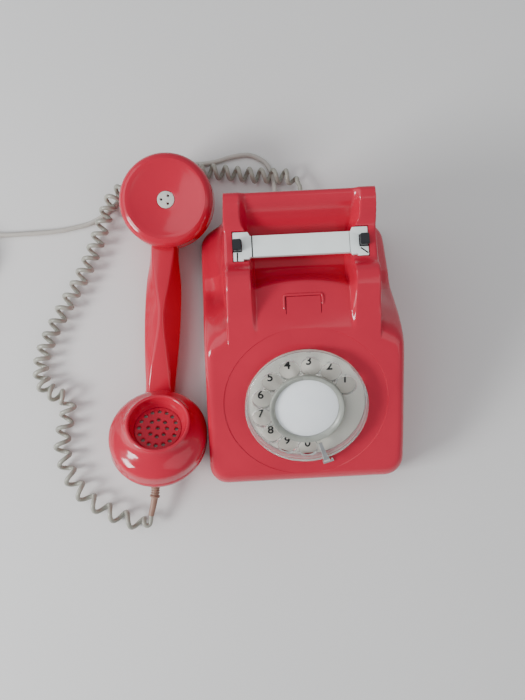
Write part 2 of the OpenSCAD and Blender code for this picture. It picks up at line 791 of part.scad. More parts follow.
module line_plug() {
  color("ivory") translate(plug_at) rotate([90, 0, 0]) difference() {
    rotate_extrude() polygon([[0, -14], [3, -14], [4, -2], [7.6, 4], [8.4, 8], [8.4, 26], [7.4, 30],
      [5, 31], [0, 31]]);
    translate([0, 0, 25]) cylinder(h = 9, r = 3);
  }
}

module plug_jack() {
  color("gold") translate(plug_at) rotate([90, 0, 0]) {
    translate([0, 0, 25]) cylinder(h = 6.5, r = 3);
    translate([0, 0, 31]) cylinder(h = 14, r = 3.2);
    translate([0, 0, 45]) cylinder(h = 3, r = 2.4);
    translate([0, 0, 48]) cylinder(h = 5, r1 = 3.1, r2 = 1.2);
  }
}

base_plate();
rubber_feet();
case();
blanking_plug();
carrying_bar();
bar_screws();
number_plate();
finger_stop();
dial_frame();
dial_bridge();
dial_screws();
pulse_contacts();
finger_wheel();
label_card();
label_cover();
dial_spindle();
main_gear();
pinion_shaft();
pulse_cam();
governor_gear();
governor_shaft();
governor_weights();
plunger_left();
plunger_right();
plunger_springs();
switch_bracket();
switch_rocker();
switch_contacts();
bell_bracket();
gong_left();
gong_right();
gong_screws();
bell_core();
bell_coils();
bell_armature();
bell_clapper();
circuit_board();
board_standoffs();
induction_coil();
capacitor();
terminal_block();
terminal_screws();
cord_clamp();
line_boot();
handset_cord_boot();
handset_handle();
earpiece_cap();
ear_insert();
receiver_capsule();
mouthpiece_cap();
mouth_grille();
transmitter_capsule();
handset_boot();
handset_cord();
line_cord();
line_cord_coil();
cord_tie();
line_plug();
plug_jack();
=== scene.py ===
"""Compact rotary desk telephone: the looks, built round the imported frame."""
import json
import math

import bmesh
import bpy
import numpy as np
from mathutils import Matrix, Vector


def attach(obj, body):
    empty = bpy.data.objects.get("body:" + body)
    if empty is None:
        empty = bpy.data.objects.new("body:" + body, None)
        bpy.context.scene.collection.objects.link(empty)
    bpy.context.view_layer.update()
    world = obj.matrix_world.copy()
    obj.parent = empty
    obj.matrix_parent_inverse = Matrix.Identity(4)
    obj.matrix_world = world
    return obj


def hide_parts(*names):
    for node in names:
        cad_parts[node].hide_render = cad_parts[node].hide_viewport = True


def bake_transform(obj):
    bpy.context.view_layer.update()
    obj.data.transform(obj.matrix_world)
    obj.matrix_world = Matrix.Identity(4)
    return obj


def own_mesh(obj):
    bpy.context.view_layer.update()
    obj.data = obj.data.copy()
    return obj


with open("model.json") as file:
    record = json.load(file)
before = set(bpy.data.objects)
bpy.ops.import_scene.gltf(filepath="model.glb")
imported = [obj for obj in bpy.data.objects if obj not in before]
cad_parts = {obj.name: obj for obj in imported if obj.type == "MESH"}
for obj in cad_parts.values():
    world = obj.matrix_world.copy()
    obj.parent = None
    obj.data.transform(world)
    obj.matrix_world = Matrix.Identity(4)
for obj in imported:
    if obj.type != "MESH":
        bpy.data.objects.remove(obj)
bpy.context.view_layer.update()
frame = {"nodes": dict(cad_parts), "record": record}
NODES = frame["nodes"]
MM = 0.001

# ---- camera ----

CAMERA_PLACE = (-0.0289, -0.0516, 0.4637)
CAMERA_PITCH = 6.57
CAMERA_YAW = -0.55
CAMERA_ROLL = -2.97
LENS = 34.17


def make_camera():
    data = bpy.data.cameras.new("camera")
    data.sensor_width = 36.0
    data.lens = LENS
    data.clip_start = 0.01
    cam = bpy.data.objects.new("camera", data)
    bpy.context.scene.collection.objects.link(cam)
    turn = (
        Matrix.Rotation(math.radians(CAMERA_YAW), 4, "Y")
        @ Matrix.Rotation(math.radians(CAMERA_PITCH), 4, "X")
        @ Matrix.Rotation(math.radians(CAMERA_ROLL), 4, "Z")
    )
    cam.matrix_world = Matrix.Translation(CAMERA_PLACE) @ turn
    bpy.context.scene.camera = cam


make_camera()


# ---- mesh helpers ----

def mesh_object(name, points, faces, smooth=True):
    mesh = bpy.data.meshes.new(name)
    mesh.from_pydata([tuple(float(c) for c in p) for p in points], [], faces)
    mesh.validate()
    mesh.update()
    for polygon in mesh.polygons:
        polygon.use_smooth = smooth
    obj = bpy.data.objects.new(name, mesh)
    bpy.context.scene.collection.objects.link(obj)
    return obj


def tidy_normals(obj, sharp=35.0):
    """Faces point outwards, and edges steeper than sharp degrees stay crisp."""
    bm = bmesh.new()
    bm.from_mesh(obj.data)
    bmesh.ops.remove_doubles(bm, verts=bm.verts, dist=1e-7)
    bmesh.ops.dissolve_degenerate(bm, edges=bm.edges, dist=1e-7)
    bmesh.ops.recalc_face_normals(bm, faces=bm.faces)
    limit = math.radians(sharp)
    for edge in bm.edges:
        if len(edge.link_faces) == 2:
            edge.smooth = edge.calc_face_angle(0.0) < limit
    for face in bm.faces:
        face.smooth = True
    bm.to_mesh(obj.data)
    bm.free()
    return obj


def apply_modifiers(obj):
    """Bakes the modifiers of a piece into its mesh."""
    graph = bpy.context.evaluated_depsgraph_get()
    mesh = bpy.data.meshes.new_from_object(obj.evaluated_get(graph))
    obj.modifiers.clear()
    old = obj.data
    obj.data = mesh
    mesh.name = obj.name
    bpy.data.meshes.remove(old)
    return obj


def boolean(obj, tool, operation):
    mod = obj.modifiers.new("boolean", "BOOLEAN")
    mod.operation = operation
    mod.solver = "EXACT"
    mod.object = tool
    apply_modifiers(obj)
    bpy.data.objects.remove(tool)


def cut(obj, *cutters, paint_shade=False):
    """Takes the cutters out of a piece; with the shade flag, the faces they leave get the second
    material, painted shade.
    """
    for cutter in cutters:
        if paint_shade:
            for mesh in (obj.data, cutter.data):
                while len(mesh.materials) < 2:
                    mesh.materials.append(None)
            for polygon in cutter.data.polygons:
                polygon.material_index = 1
        boolean(obj, cutter, "DIFFERENCE")
    return obj


def revolve(name, profile, steps=96, matrix=None):
    """A closed solid turned from (radius, height) points; a radius of 0 closes on the axis."""
    bm = bmesh.new()
    rings = []
    for r, z in profile:
        if r < 1e-9:
            rings.append([bm.verts.new((0, 0, z))])
        else:
            rings.append([
                bm.verts.new((r * math.cos(math.tau * i / steps),
                              r * math.sin(math.tau * i / steps), z))
                for i in range(steps)
            ])
    pairs = list(zip(rings, rings[1:]))
    if len(rings[0]) > 1:
        pairs.append((rings[-1], rings[0]))
    for a, b in pairs:
        for i in range(steps):
            j = (i + 1) % steps
            ring = [a[i % len(a)], a[j % len(a)], b[j % len(b)], b[i % len(b)]]
            corners = list(dict.fromkeys(ring))
            if len(corners) > 2:
                bm.faces.new(corners)
    mesh = bpy.data.meshes.new(name)
    bm.to_mesh(mesh)
    bm.free()
    if matrix is not None:
        mesh.transform(matrix)
    obj = bpy.data.objects.new(name, mesh)
    bpy.context.scene.collection.objects.link(obj)
    return tidy_normals(obj)


def round_corners(points, radius, steps=4, closed=True):
    """Replaces each corner of an outline by an arc; radius may be one number or one a corner."""
    out = []
    n = len(points)
    for i, p in enumerate(points):
        r = radius[i] if hasattr(radius, "__len__") else radius
        if r <= 0 or (not closed and i in (0, n - 1)):
            out.append(tuple(p))
            continue
        p = Vector(p)
        a = Vector(points[i - 1]) - p
        b = Vector(points[(i + 1) % n]) - p
        r = min(r, 0.49 * a.length, 0.49 * b.length)
        start = p + a.normalized() * r
        end = p + b.normalized() * r
        for k in range(steps + 1):
            t = k / steps
            q = start * (1 - t) ** 2 + p * 2 * t * (1 - t) + end * t * t
            out.append(tuple(q))
    return out


def prism(name, outline, low, high, bevel=0.0, matrix=None, segments=3):
    """An upright solid from an (x, y) outline, with its long edges rounded by bevel."""
    bm = bmesh.new()
    bottom = [bm.verts.new((x, y, low)) for x, y in outline]
    top = [bm.verts.new((x, y, high)) for x, y in outline]
    n = len(outline)
    bm.faces.new(bottom[::-1])
    bm.faces.new(top)
    for i in range(n):
        j = (i + 1) % n
        bm.faces.new([bottom[i], bottom[j], top[j], top[i]])
    bmesh.ops.recalc_face_normals(bm, faces=bm.faces)
    if bevel > 0:
        rims = [e for e in bm.edges if abs(e.verts[0].co.z - e.verts[1].co.z) < 1e-9]
        bmesh.ops.bevel(bm, geom=rims, offset=bevel, segments=segments, profile=0.5,
                        affect="EDGES")
    mesh = bpy.data.meshes.new(name)
    bm.to_mesh(mesh)
    bm.free()
    if matrix is not None:
        mesh.transform(matrix)
    obj = bpy.data.objects.new(name, mesh)
    bpy.context.scene.collection.objects.link(obj)
    return tidy_normals(obj)


def box_cutter(low, high):
    corners = [(low[0], low[1]), (high[0], low[1]), (high[0], high[1]), (low[0], high[1])]
    return prism("cutter", [(x * MM, y * MM) for x, y in corners], low[2] * MM, high[2] * MM)


def join(name, parts):
    """One object from several, whose meshes are put side by side."""
    bm = bmesh.new()
    for part in parts:
        bm.from_mesh(part.data)
        bpy.data.objects.remove(part)
    mesh = bpy.data.meshes.new(name)
    bm.to_mesh(mesh)
    bm.free()
    obj = bpy.data.objects.new(name, mesh)
    bpy.context.scene.collection.objects.link(obj)
    return obj


# ---- lines and tubes ----

def smooth_line(points, step):
    """A Catmull-Rom line through the points, with its points step apart."""
    q = np.array(points, float)
    q = np.vstack([2 * q[0] - q[1], q, 2 * q[-1] - q[-2]])
    fine = []
    for i in range(1, len(q) - 2):
        a, b, c, d = q[i - 1: i + 3]
        for t in np.linspace(0, 1, 40, endpoint=False):
            fine.append(0.5 * (2 * b + (c - a) * t + (2 * a - 5 * b + 4 * c - d) * t * t
                               + (3 * b - a - 3 * c + d) * t ** 3))
    fine.append(q[-2])
    return even_line(np.array(fine), step)


def even_line(line, step):
    """The same line with its points step apart."""
    run = np.concatenate([[0], np.cumsum(np.linalg.norm(np.diff(line, axis=0), axis=1))])
    n = max(2, int(round(run[-1] / step)) + 1)
    at = np.linspace(0, run[-1], n)
    return np.stack([np.interp(at, run, line[:, k]) for k in range(3)], axis=1)


def line_length(line):
    return float(np.linalg.norm(np.diff(line, axis=0), axis=1).sum())


def frames_along(line):
    """Unit tangents and two steady normals at each point of a line."""
    tangent = np.gradient(line, axis=0)
    tangent /= np.linalg.norm(tangent, axis=1)[:, None]
    side = np.zeros_like(line)
    first = np.cross([0, 0, 1.0], tangent[0])
    if np.linalg.norm(first) < 1e-6:
        first = np.array([1.0, 0, 0])
    side[0] = first / np.linalg.norm(first)
    for i in range(1, len(line)):
        s = side[i - 1] - tangent[i] * np.dot(side[i - 1], tangent[i])
        side[i] = s / np.linalg.norm(s)
    return tangent, side, np.cross(tangent, side)


def skin(rings, sides):
    """Side faces between the rings of a strip or tube."""
    return [(j * sides + i, j * sides + m, (j + 1) * sides + m, (j + 1) * sides + i)
            for j in range(rings - 1) for i in range(sides) for m in [(i + 1) % sides]]


def tube(name, line, radius, sides=12):
    """A closed tube along a line in metres; radius is one number or one a point."""
    _, side, up = frames_along(line)
    radius = np.broadcast_to(np.asarray(radius, float), (len(line),))
    angles = np.arange(sides) * math.tau / sides
    ring = (np.cos(angles)[None, :, None] * side[:, None, :]
            + np.sin(angles)[None, :, None] * up[:, None, :])
    points = (line[:, None, :] + ring * radius[:, None, None]).reshape(-1, 3)
    faces = skin(len(line), sides)
    faces.append(tuple(range(sides))[::-1])
    faces.append(tuple((len(line) - 1) * sides + k for k in range(sides)))
    return tidy_normals(mesh_object(name, points, faces), 60)


# ---- cords, routed as the solids are ----

WIRE = 3.1       # wire of the handset cord
CURL = 12.0      # outer diameter of its curls
LINE = 3.4       # line cord

STRAIGHT_START = 9    # the wire runs straight before its curls open
STRAIGHT_END = 6.5

CURL_ROUTE = [
    (8, 110, 9), (8, 116, 8.5), (5, 122, 7), (-2, 125, 6), (-12, 126, 6), (-24, 127, 6),
    (-38, 129, 6), (-52, 131, 6), (-68, 132, 6), (-84, 131, 6), (-100, 128, 7.5),
    (-114, 122, 9.6), (-124, 114, 9.6), (-129, 104, 9.6), (-133, 94, 8), (-137, 84, 6.5),
    (-142, 72, 6), (-149, 58, 6), (-156, 46, 6), (-163, 34, 6), (-170, 21, 6), (-175, 9, 6),
    (-178, -3, 6), (-176, -15, 6), (-169, -22, 6), (-161, -26, 6), (-160, -36, 6),
    (-163, -48, 6), (-164, -60, 6), (-161, -73, 6), (-155, -85, 6), (-146, -95, 6),
    (-134, -103, 6), (-123, -108, 6), (-114, -111.5, 6), (-109.5, -113.2, 6.4),
    (-106, -112.4, 7.6), (-104.7, -108, 9.0), (-104.6, -105.4, 9.5),
]
LINE_ROUTE = [
    (-10, 110, 9), (-10, 118, 6), (-11, 128, 2.4), (-16, 138, 1.7), (-27, 144, 1.7),
    (-40, 143, 1.7), (-52, 140, 1.7), (-66, 139, 1.7), (-84, 141, 1.7), (-100, 138, 1.7),
    (-113, 127, 1.7), (-126, 110, 1.7), (-140, 100, 1.7), (-155, 96, 1.7), (-170, 94, 1.7),
    (-188, 93.5, 1.7), (-206, 93.5, 1.7), (-224, 95, 2), (-238, 95.4, 2.3),
]
TAIL_ROUTE = [(-264, 68, 12), (-264, 60, 10.5), (-262.5, 52, 8.8), (-262, 48, 8.5)]
COIL_CENTRE = (-242, 73.5)
COIL_RADIUS = 18.5
COIL_TURNS = 11.25
COIL_COLUMNS = 3


def curl_line():
    """The wire's own line: a helix round the route, straight at both ends."""
    route = smooth_line(CURL_ROUTE, 0.45)
    _, side, up = frames_along(route)
    run = np.linspace(0, line_length(route), len(route))
    total = run[-1]
    share = run / total
    pitch = np.interp(share, [0, 0.05, 0.3, 0.55, 0.66, 0.72, 0.9, 1],
                      [9, 8.6, 8.6, 10.2, 8.2, 10.5, 13, 13])
    step = np.gradient(run)
    phase = np.cumsum(step / pitch) * math.tau
    opening = np.clip(np.minimum((run - STRAIGHT_START) / STRAIGHT_START,
                                 (total - STRAIGHT_END - run) / STRAIGHT_END), 0, 1)
    opening = opening * opening * (3 - 2 * opening)
    wobble = 1 - 0.05 * (1 + np.sin(run * 0.23 + 1.0)) / 2
    radius = (CURL - WIRE) / 2 * opening * wobble
    line = (route + radius[:, None] * (np.cos(phase)[:, None] * side
                                       + np.sin(phase)[:, None] * up))
    line[:, 2] = np.maximum(line[:, 2], WIRE / 2 + 0.05)
    line[1:-1] = (line[:-2] + 2 * line[1:-1] + line[2:]) / 4
    return line * MM


def coil_line():
    """The line cord's turns, laid beside and on each other, from the outside in and back."""
    steps = 48
    pitch = LINE + 0.05
    middle = (COIL_COLUMNS - 1) / 2

    def cell(turn):
        row, column = divmod(max(turn, 0), COIL_COLUMNS)
        return (middle - column if row % 2 == 0 else column - middle), row

    points = []
    for i in range(int(COIL_TURNS * steps) + 1):
        turn, part = divmod(i / steps, 1)
        part = min(1.0, part * 5)
        part = part * part * (3 - 2 * part)
        (c0, r0), (c1, r1) = cell(int(turn) - 1), cell(int(turn))
        r = COIL_RADIUS + (c0 + (c1 - c0) * part) * pitch
        angle = math.pi / 2 + math.tau * i / steps
        points.append((COIL_CENTRE[0] + r * math.cos(angle), COIL_CENTRE[1] + r * math.sin(angle),
                       LINE / 2 + 0.6 + (r0 + (r1 - r0) * part) * pitch))
    return points


def whole_line():
    """The line cord's own line, from its boot through the coil to its plug."""
    coil = coil_line()
    lead = smooth_line(LINE_ROUTE[:-1] + [coil[1]], 2.0)[:-1]
    tail = smooth_line([coil[-1]] + TAIL_ROUTE[1:], 2.0)[1:]
    return np.vstack([lead, coil[1:], tail]) * MM


curl = curl_line()
handset_cord = tube("handset_cord_curls", curl, WIRE / 2 * MM, 12)
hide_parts("handset_cord")

line_path = whole_line()
line_cord = tube("line_cord_whole", line_path, LINE / 2 * MM, 12)
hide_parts("line_cord", "line_cord_coil")
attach(line_cord, "base")
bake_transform(handset_cord)


# ---- materials ----

def material(name, colour, roughness, metallic=0.0, spread=0.08, spread_scale=40.0,
             rough_spread=0.06, rough_scale=90.0, bump=0.15, bump_scale=500.0,
             bump_depth=0.00005, scratches=0.0, **shader):
    """A moulded, painted or rubbed surface: uneven colour and gloss, with a fine bump."""
    mat = bpy.data.materials.new(name)
    mat.use_nodes = True
    nodes, links = mat.node_tree.nodes, mat.node_tree.links
    bsdf = nodes["Principled BSDF"]
    coords = nodes.new("ShaderNodeTexCoord")

    def noise(scale, detail=4.0, stretch=None):
        tex = nodes.new("ShaderNodeTexNoise")
        tex.inputs["Scale"].default_value = scale
        tex.inputs["Detail"].default_value = detail
        if stretch:
            mapping = nodes.new("ShaderNodeMapping")
            mapping.inputs["Scale"].default_value = stretch
            links.new(coords.outputs["Object"], mapping.inputs["Vector"])
            links.new(mapping.outputs["Vector"], tex.inputs["Vector"])
        else:
            links.new(coords.outputs["Object"], tex.inputs["Vector"])
        return tex

    ramp = nodes.new("ShaderNodeValToRGB")
    low, high = ramp.color_ramp.elements
    low.position, high.position = 0.3, 0.7
    low.color = [max(0.0, c * (1 - spread)) for c in colour] + [1]
    high.color = [min(1.0, c * (1 + spread)) for c in colour] + [1]
    links.new(noise(spread_scale).outputs["Fac"], ramp.inputs["Fac"])
    links.new(ramp.outputs["Color"], bsdf.inputs["Base Color"])

    gloss = nodes.new("ShaderNodeMapRange")
    gloss.inputs["From Min"].default_value = 0.3
    gloss.inputs["From Max"].default_value = 0.7
    gloss.inputs["To Min"].default_value = max(0.02, roughness - rough_spread)
    gloss.inputs["To Max"].default_value = min(1.0, roughness + rough_spread)
    links.new(noise(rough_scale, 6.0).outputs["Fac"], gloss.inputs["Value"])
    links.new(gloss.outputs["Result"], bsdf.inputs["Roughness"])

    height = nodes.new("ShaderNodeBump")
    height.inputs["Strength"].default_value = bump
    height.inputs["Distance"].default_value = bump_depth
    links.new(noise(bump_scale, 2.0).outputs["Fac"], height.inputs["Height"])
    last = height
    if scratches > 0:
        fine = nodes.new("ShaderNodeBump")
        fine.inputs["Strength"].default_value = scratches
        fine.inputs["Distance"].default_value = 0.00003
        links.new(noise(160.0, 8.0, (1.0, 22.0, 3.0)).outputs["Fac"], fine.inputs["Height"])
        links.new(height.outputs["Normal"], fine.inputs["Normal"])
        last = fine
    links.new(last.outputs["Normal"], bsdf.inputs["Normal"])
    bsdf.inputs["Metallic"].default_value = metallic
    for key, value in shader.items():
        bsdf.inputs[key.replace("_", " ")].default_value = value
    return mat


RED = (0.53, 0.014, 0.040)
MATERIALS = {
    "red_case": material("red_case", RED, 0.17, spread=0.07, spread_scale=22, bump=0.22,
                         bump_scale=380, scratches=0.06, Coat_Weight=0.25, Coat_Roughness=0.08,
                         Specular_IOR_Level=0.36),
    "red_handset": material("red_handset", (0.53, 0.012, 0.038), 0.15, spread=0.06,
                            spread_scale=26, bump=0.2, bump_scale=420, scratches=0.08,
                            Coat_Weight=0.25, Coat_Roughness=0.06, Specular_IOR_Level=0.34),
    "bar_plastic": material("bar_plastic", (0.89, 0.97, 0.93), 0.36, spread=0.04,
                            spread_scale=60, bump=0.25, bump_scale=700),
    "steel": material("steel", (0.56, 0.56, 0.57), 0.33, 1.0, spread=0.1, scratches=0.5),
    "bright_steel": material("bright_steel", (0.66, 0.66, 0.64), 0.24, 1.0, spread=0.12,
                             spread_scale=200, scratches=0.4),
    "rubber": material("rubber", (0.025, 0.025, 0.025), 0.75, spread=0.25, bump=0.5),
    "number_plate": material("number_plate", (0.83, 0.80, 0.72), 0.42, spread=0.05,
                             spread_scale=80, bump=0.25, bump_scale=900),
    "alloy": material("alloy", (0.5, 0.5, 0.5), 0.45, 1.0, spread=0.1, bump=0.5),
    "brass": material("brass", (0.62, 0.44, 0.17), 0.3, 1.0, spread=0.12, scratches=0.4),
    "clear_plastic": material("clear_plastic", (0.90, 0.91, 0.87), 0.1, spread=0.02,
                              rough_spread=0.05, bump=0.1, scratches=0.12,
                              Transmission_Weight=0.86, IOR=1.47),
    "hub_ring": material("hub_ring", (0.30, 0.31, 0.27), 0.3, spread=0.12, spread_scale=300,
                         scratches=0.3),
    "label_window": material("label_window", (0.95, 0.97, 0.98), 0.16, spread=0.02,
                             rough_spread=0.04, bump=0.1, scratches=0.12, Alpha=0.1),
    "ear_plastic": material("ear_plastic", (0.60, 0.62, 0.56), 0.42, spread=0.06,
                            spread_scale=300, bump=0.3, bump_scale=1800),
    "label": material("label", (0.95, 0.98, 1.0), 0.5, spread=0.03, spread_scale=120,
                      bump=0.3, bump_scale=1500),
    "black_plastic": material("black_plastic", (0.018, 0.019, 0.022), 0.38, spread=0.2,
                              bump=0.3, bump_scale=800),
    "brown_plastic": material("brown_plastic", (0.2, 0.1, 0.05), 0.5, spread=0.2, bump=0.4),
    "bell_metal": material("bell_metal", (0.6, 0.52, 0.4), 0.25, 1.0, spread=0.1,
                           scratches=0.5),
    "cord_grey": material("cord_grey", (0.34, 0.33, 0.30), 0.45, spread=0.1, bump=0.3),
    "boot_rubber": material("boot_rubber", (0.30, 0.17, 0.12), 0.5, spread=0.18,
                            spread_scale=160, bump=0.35),
    "curly_cord": material("curly_cord", (0.34, 0.335, 0.28), 0.27, spread=0.14,
                           spread_scale=55, rough_spread=0.1, bump=0.25, bump_scale=650),
    "line_cord": material("line_cord", (0.50, 0.47, 0.42), 0.34, spread=0.08,
                          spread_scale=60, bump=0.25, bump_scale=600),
}
# near-black painted shade for the walls of cut grooves, slots and gaps, standing in for the shade
# inside them
PAINTED_SHADE = material("painted_shade", (0.02, 0.002, 0.003), 0.8, spread=0.3, bump=0.2)
PRINT = material("digit_print", (0.012, 0.012, 0.013), 0.4, spread=0.2, bump=0.1)


def finish_with(obj, slot, body=None, *replaced):
    """Gives a piece the material of its slot, puts it on its body, and hides the CAD nodes it
    stands for.
    """
    if len(obj.data.materials) < 2:
        obj.data.materials.clear()
        obj.data.materials.append(MATERIALS[slot])
    else:
        obj.data.materials[0] = MATERIALS[slot]
        # the second material is painted shade on the walls of cut gaps
        obj.data.materials[1] = PAINTED_SHADE
    if replaced:
        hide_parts(*replaced)
    if body:
        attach(obj, body)
    return obj


for cord, slot in ((handset_cord, "curly_cord"), (line_cord, "line_cord")):
    cord.data.materials.clear()
    cord.data.materials.append(MATERIALS[slot])
for row in frame["record"]["subparts"]:
    node = NODES[row["node"]]
    node.data.materials.clear()
    node.data.materials.append(MATERIALS[row["material_slot"]])


# ---- case: heights above the table, in millimetres, over the plan ----

HALF_W = 64.0
HALF_D = 88.0
PLAN_R = 13.0
FOOT = 3.0
DRAFT = 0.064
WALL = 2.6
HORN_EDGE = 44.2
SLOPE_DEGREES = 30
SLOPE = math.radians(SLOPE_DEGREES)
DIAL_PLACE = (0.0, -42.5, 61.7)
PLUNGER_X = 37
PLUNGER_Y = 53
BAR_SCREW_Y = 46.5
CORD_EXITS_X = (-10, 8)
CORD_EXIT_Z = 9
GRID_X = 48          # half width and half depth of the plan's straight grid
GRID_Y = 72
GRID_INSET = 16      # from the plan's edge to that grid
STEEP_FROM = 0.985   # share of a hollow's width where its curve turns into a wall


def placed(point, *turns):
    """A matrix from millimetres about a point, after turns of (degrees, axis), to the frame."""
    matrix = Matrix.Translation([c * MM for c in point])
    for degrees, axis in turns:
        matrix = matrix @ Matrix.Rotation(math.radians(degrees), 4, axis)
    return matrix


IN_MM = Matrix.Scale(MM, 4)
DIAL = placed(DIAL_PLACE, (SLOPE_DEGREES, "X"))
DIAL_MM = DIAL @ IN_MM


def steps(a, b, t):
    """0 before a, 1 after b, and a smooth rise between them."""
    u = np.clip((t - a) / (b - a), 0, 1)
    return u * u * (3 - 2 * u)


def face_height(y):
    """Height of the sloped face at a distance y from the middle."""
    return 55.6 + (y + 40) * math.tan(SLOPE)


def softened(z, soft):
    """Heights 0.1 mm apart, blurred by soft millimetres."""
    reach = np.arange(-4 * soft, 4 * soft + 0.1, 0.1)
    kernel = np.exp(-0.5 * (reach / soft) ** 2)
    kernel /= kernel.sum()
    padded = np.pad(z, len(kernel) // 2, mode="edge")
    return np.convolve(padded, kernel, "valid")[: len(z)]


def profile(points, soft, front_soft):
    """A height along y through the points, its corners softened, more so in front of 24."""
    y = np.arange(-130, 130, 0.1)
    z = np.interp(y, [p[0] for p in points], [p[1] for p in points])
    back = steps(21, 27, y)
    z = softened(z, front_soft) * (1 - back) + softened(z, soft) * back
    return lambda at: np.interp(at, y, z)


channel_at = profile([
    (-120, face_height(-120)), (3, face_height(3)), (12, 82.6), (22.5, 84),
    (27.5, 83.8), (29.5, 81.5), (32, 76.8), (36, 72.2), (43, 70), (50, 71.2), (58, 74),
    (62, 76.2), (66, 80.5), (70, 86), (73, 91.2), (76, 95.6), (79.5, 98), (84, 98.2),
    (110, 98)], 0.9, 2.2)
horn_at = profile([
    (-120, face_height(-120)), (6, face_height(6)), (14, 86.0), (20, 90.6), (26, 94.2),
    (30, 95.2), (34, 95), (37.5, 93), (40.6, 89.6), (43.2, 88), (62, 88), (65, 90.5),
    (70, 96), (74.5, 99.3), (79, 100), (84, 99.8), (110, 99.4)], 0.8, 2.0)
shoulder_at = profile([
    (-120, 150), (-16, 94), (-6, 82.5), (2, 74), (9, 68), (17, 60), (24, 50.5), (32, 39),
    (38, 32.5), (46, 27.8), (54, 23.8), (71, 14.8), (78, 10.6), (88, 7), (130, 6)], 2.4, 3.0)


def edge_drop(inside, r):
    """How far a rounded edge of radius r lies below the flat, inside millimetres in from it."""
    t = np.clip(inside, 0, r)
    return r - np.sqrt(np.maximum(r * r - (r - t) ** 2, 0))


def hollow(distance, width, depth):
    """A quarter of an ellipse, upright at distance width and flat at 0, then a steep wall."""
    u = np.clip(distance / width, 0, STEEP_FROM)
    curve = depth * (1 - np.sqrt(1 - u * u))
    return curve + np.maximum(distance / width - STEEP_FROM, 0) * width * 18


def soft_min(a, b, k):
    """The smaller of two heights, rounded where they cross by k millimetres."""
    h = np.clip(0.5 - 0.5 * (b - a) / k, 0, 1)
    return a * (1 - h) + b * h - k * h * (1 - h)


def body_height(x, y):
    """Height of the case over the plan, without its outer walls."""
    ax = np.abs(x)
    bulge = 4.0 * (1 - np.clip(ax / 28, 0, 1) ** 2) * steps(14, 26, y) * (1 - steps(32, 46, y))
    channel = channel_at(y - bulge)
    rear = steps(56, 68, y)
    middle = 28.9 + 3.9 * rear
    half = 1.5 + 0.9 * rear
    horn = horn_at(y)
    top = channel + (horn - channel) * steps(middle - half, middle + half, ax)
    edge = HORN_EDGE + 0.5 * rear
    top = top - steps(8, 20, y) * edge_drop(edge + 0.3 - ax, 1.7)
    floor = np.minimum(shoulder_at(y), 27.0)
    side = floor + hollow(66 - ax, 64 - edge, 33)
    shift = 7 * (1 - steps(44, 58, ax))
    front = shoulder_at(y - shift) - 6 * steps(30, 50, y)
    shoulder = -soft_min(-side, -front, 10.0)
    k = 13 - 11.8 * (1 - steps(45.5, 53, ax)) * steps(0, 18, y)
    return soft_min(top, shoulder, k)


def with_walls(height, inset, r):
    """Adds the drafted outer wall and the rounded edge above it."""
    reach = (height - r - FOOT) * DRAFT
    t = inset - reach
    return np.where(t < 0, FOOT + inset / DRAFT, height - edge_drop(t, r))


def plan_lines():
    """Distances of the grid's lines from the middle, in x and y."""
    x = np.concatenate([np.arange(0, 25, 1.6), np.arange(25.2, 36.6, 0.5),
                        np.arange(37.4, 40.6, 0.8), np.arange(41, 46.3, 0.24),
                        np.arange(46.5, 48.01, 0.25)])
    x = np.concatenate([-x[:0:-1], x])
    y = np.concatenate([np.arange(-72, -68, 0.5), np.arange(-68, 2, 1.4),
                        np.arange(2.5, 68.6, 0.7), np.arange(69, 72.01, 0.375)])
    return x, y


def ring_place(share, grid_half, other_half, across_half, inset):
    """A point of a rounded rectangle's side: along the side, and out from the middle."""
    limit = 1 - 3.6 / grid_half
    r = max(PLAN_R - inset, 0.4)
    u = abs(share)
    if u <= limit:
        return share * grid_half, across_half - inset
    straight = other_half - inset - r
    start = limit * grid_half
    run = (u - limit) / (1 - limit) * (straight - start + r * math.pi / 4)
    if run <= straight - start:
        return math.copysign(start + run, share), across_half - inset
    angle = math.pi / 2 - (run - straight + start) / r
    return (math.copysign(straight + r * math.cos(angle), share),
            across_half - inset - r + r * math.sin(angle))


def rim_point(side, share, inset):
    """A point inset from the plan's edge on one of its four sides, share along it."""
    if side in "fb":
        along, across = ring_place(share, GRID_X, HALF_W, HALF_D, inset)
        return (along, across if side == "b" else -across)
    along, across = ring_place(share, GRID_Y, HALF_D, HALF_W, inset)
    return (across if side == "r" else -across, along)


def edge_radius(y):
    """Radius of the rounded edge between the case's wall and its top."""
    return (5.2 + 1.2 * (1 - steps(-80, -60, y)) + 2.2 * steps(-14, 4, y)
            - 3.6 * steps(20, 45, y))


WALL_ROWS = 5
ARC_ROWS = 9
FLAT_ROWS = 9


def row_inset(row, height, r):
    """Inset of a row of the outer rings: up the wall, round its edge, then inwards."""
    reach = (height - r - FOOT) * DRAFT
    if row <= WALL_ROWS:
        return reach * row / WALL_ROWS
    if row <= WALL_ROWS + ARC_ROWS:
        return reach + r * (1 - math.cos(math.pi / 2 * (row - WALL_ROWS) / ARC_ROWS))
    share = (row - WALL_ROWS - ARC_ROWS) / (FLAT_ROWS + 1)
    return reach + r + (GRID_INSET - reach - r) * share


def grid_quads(nx, ny):
    return [(j * nx + i, j * nx + i + 1, (j + 1) * nx + i + 1, (j + 1) * nx + i)
            for j in range(ny - 1) for i in range(nx - 1)]


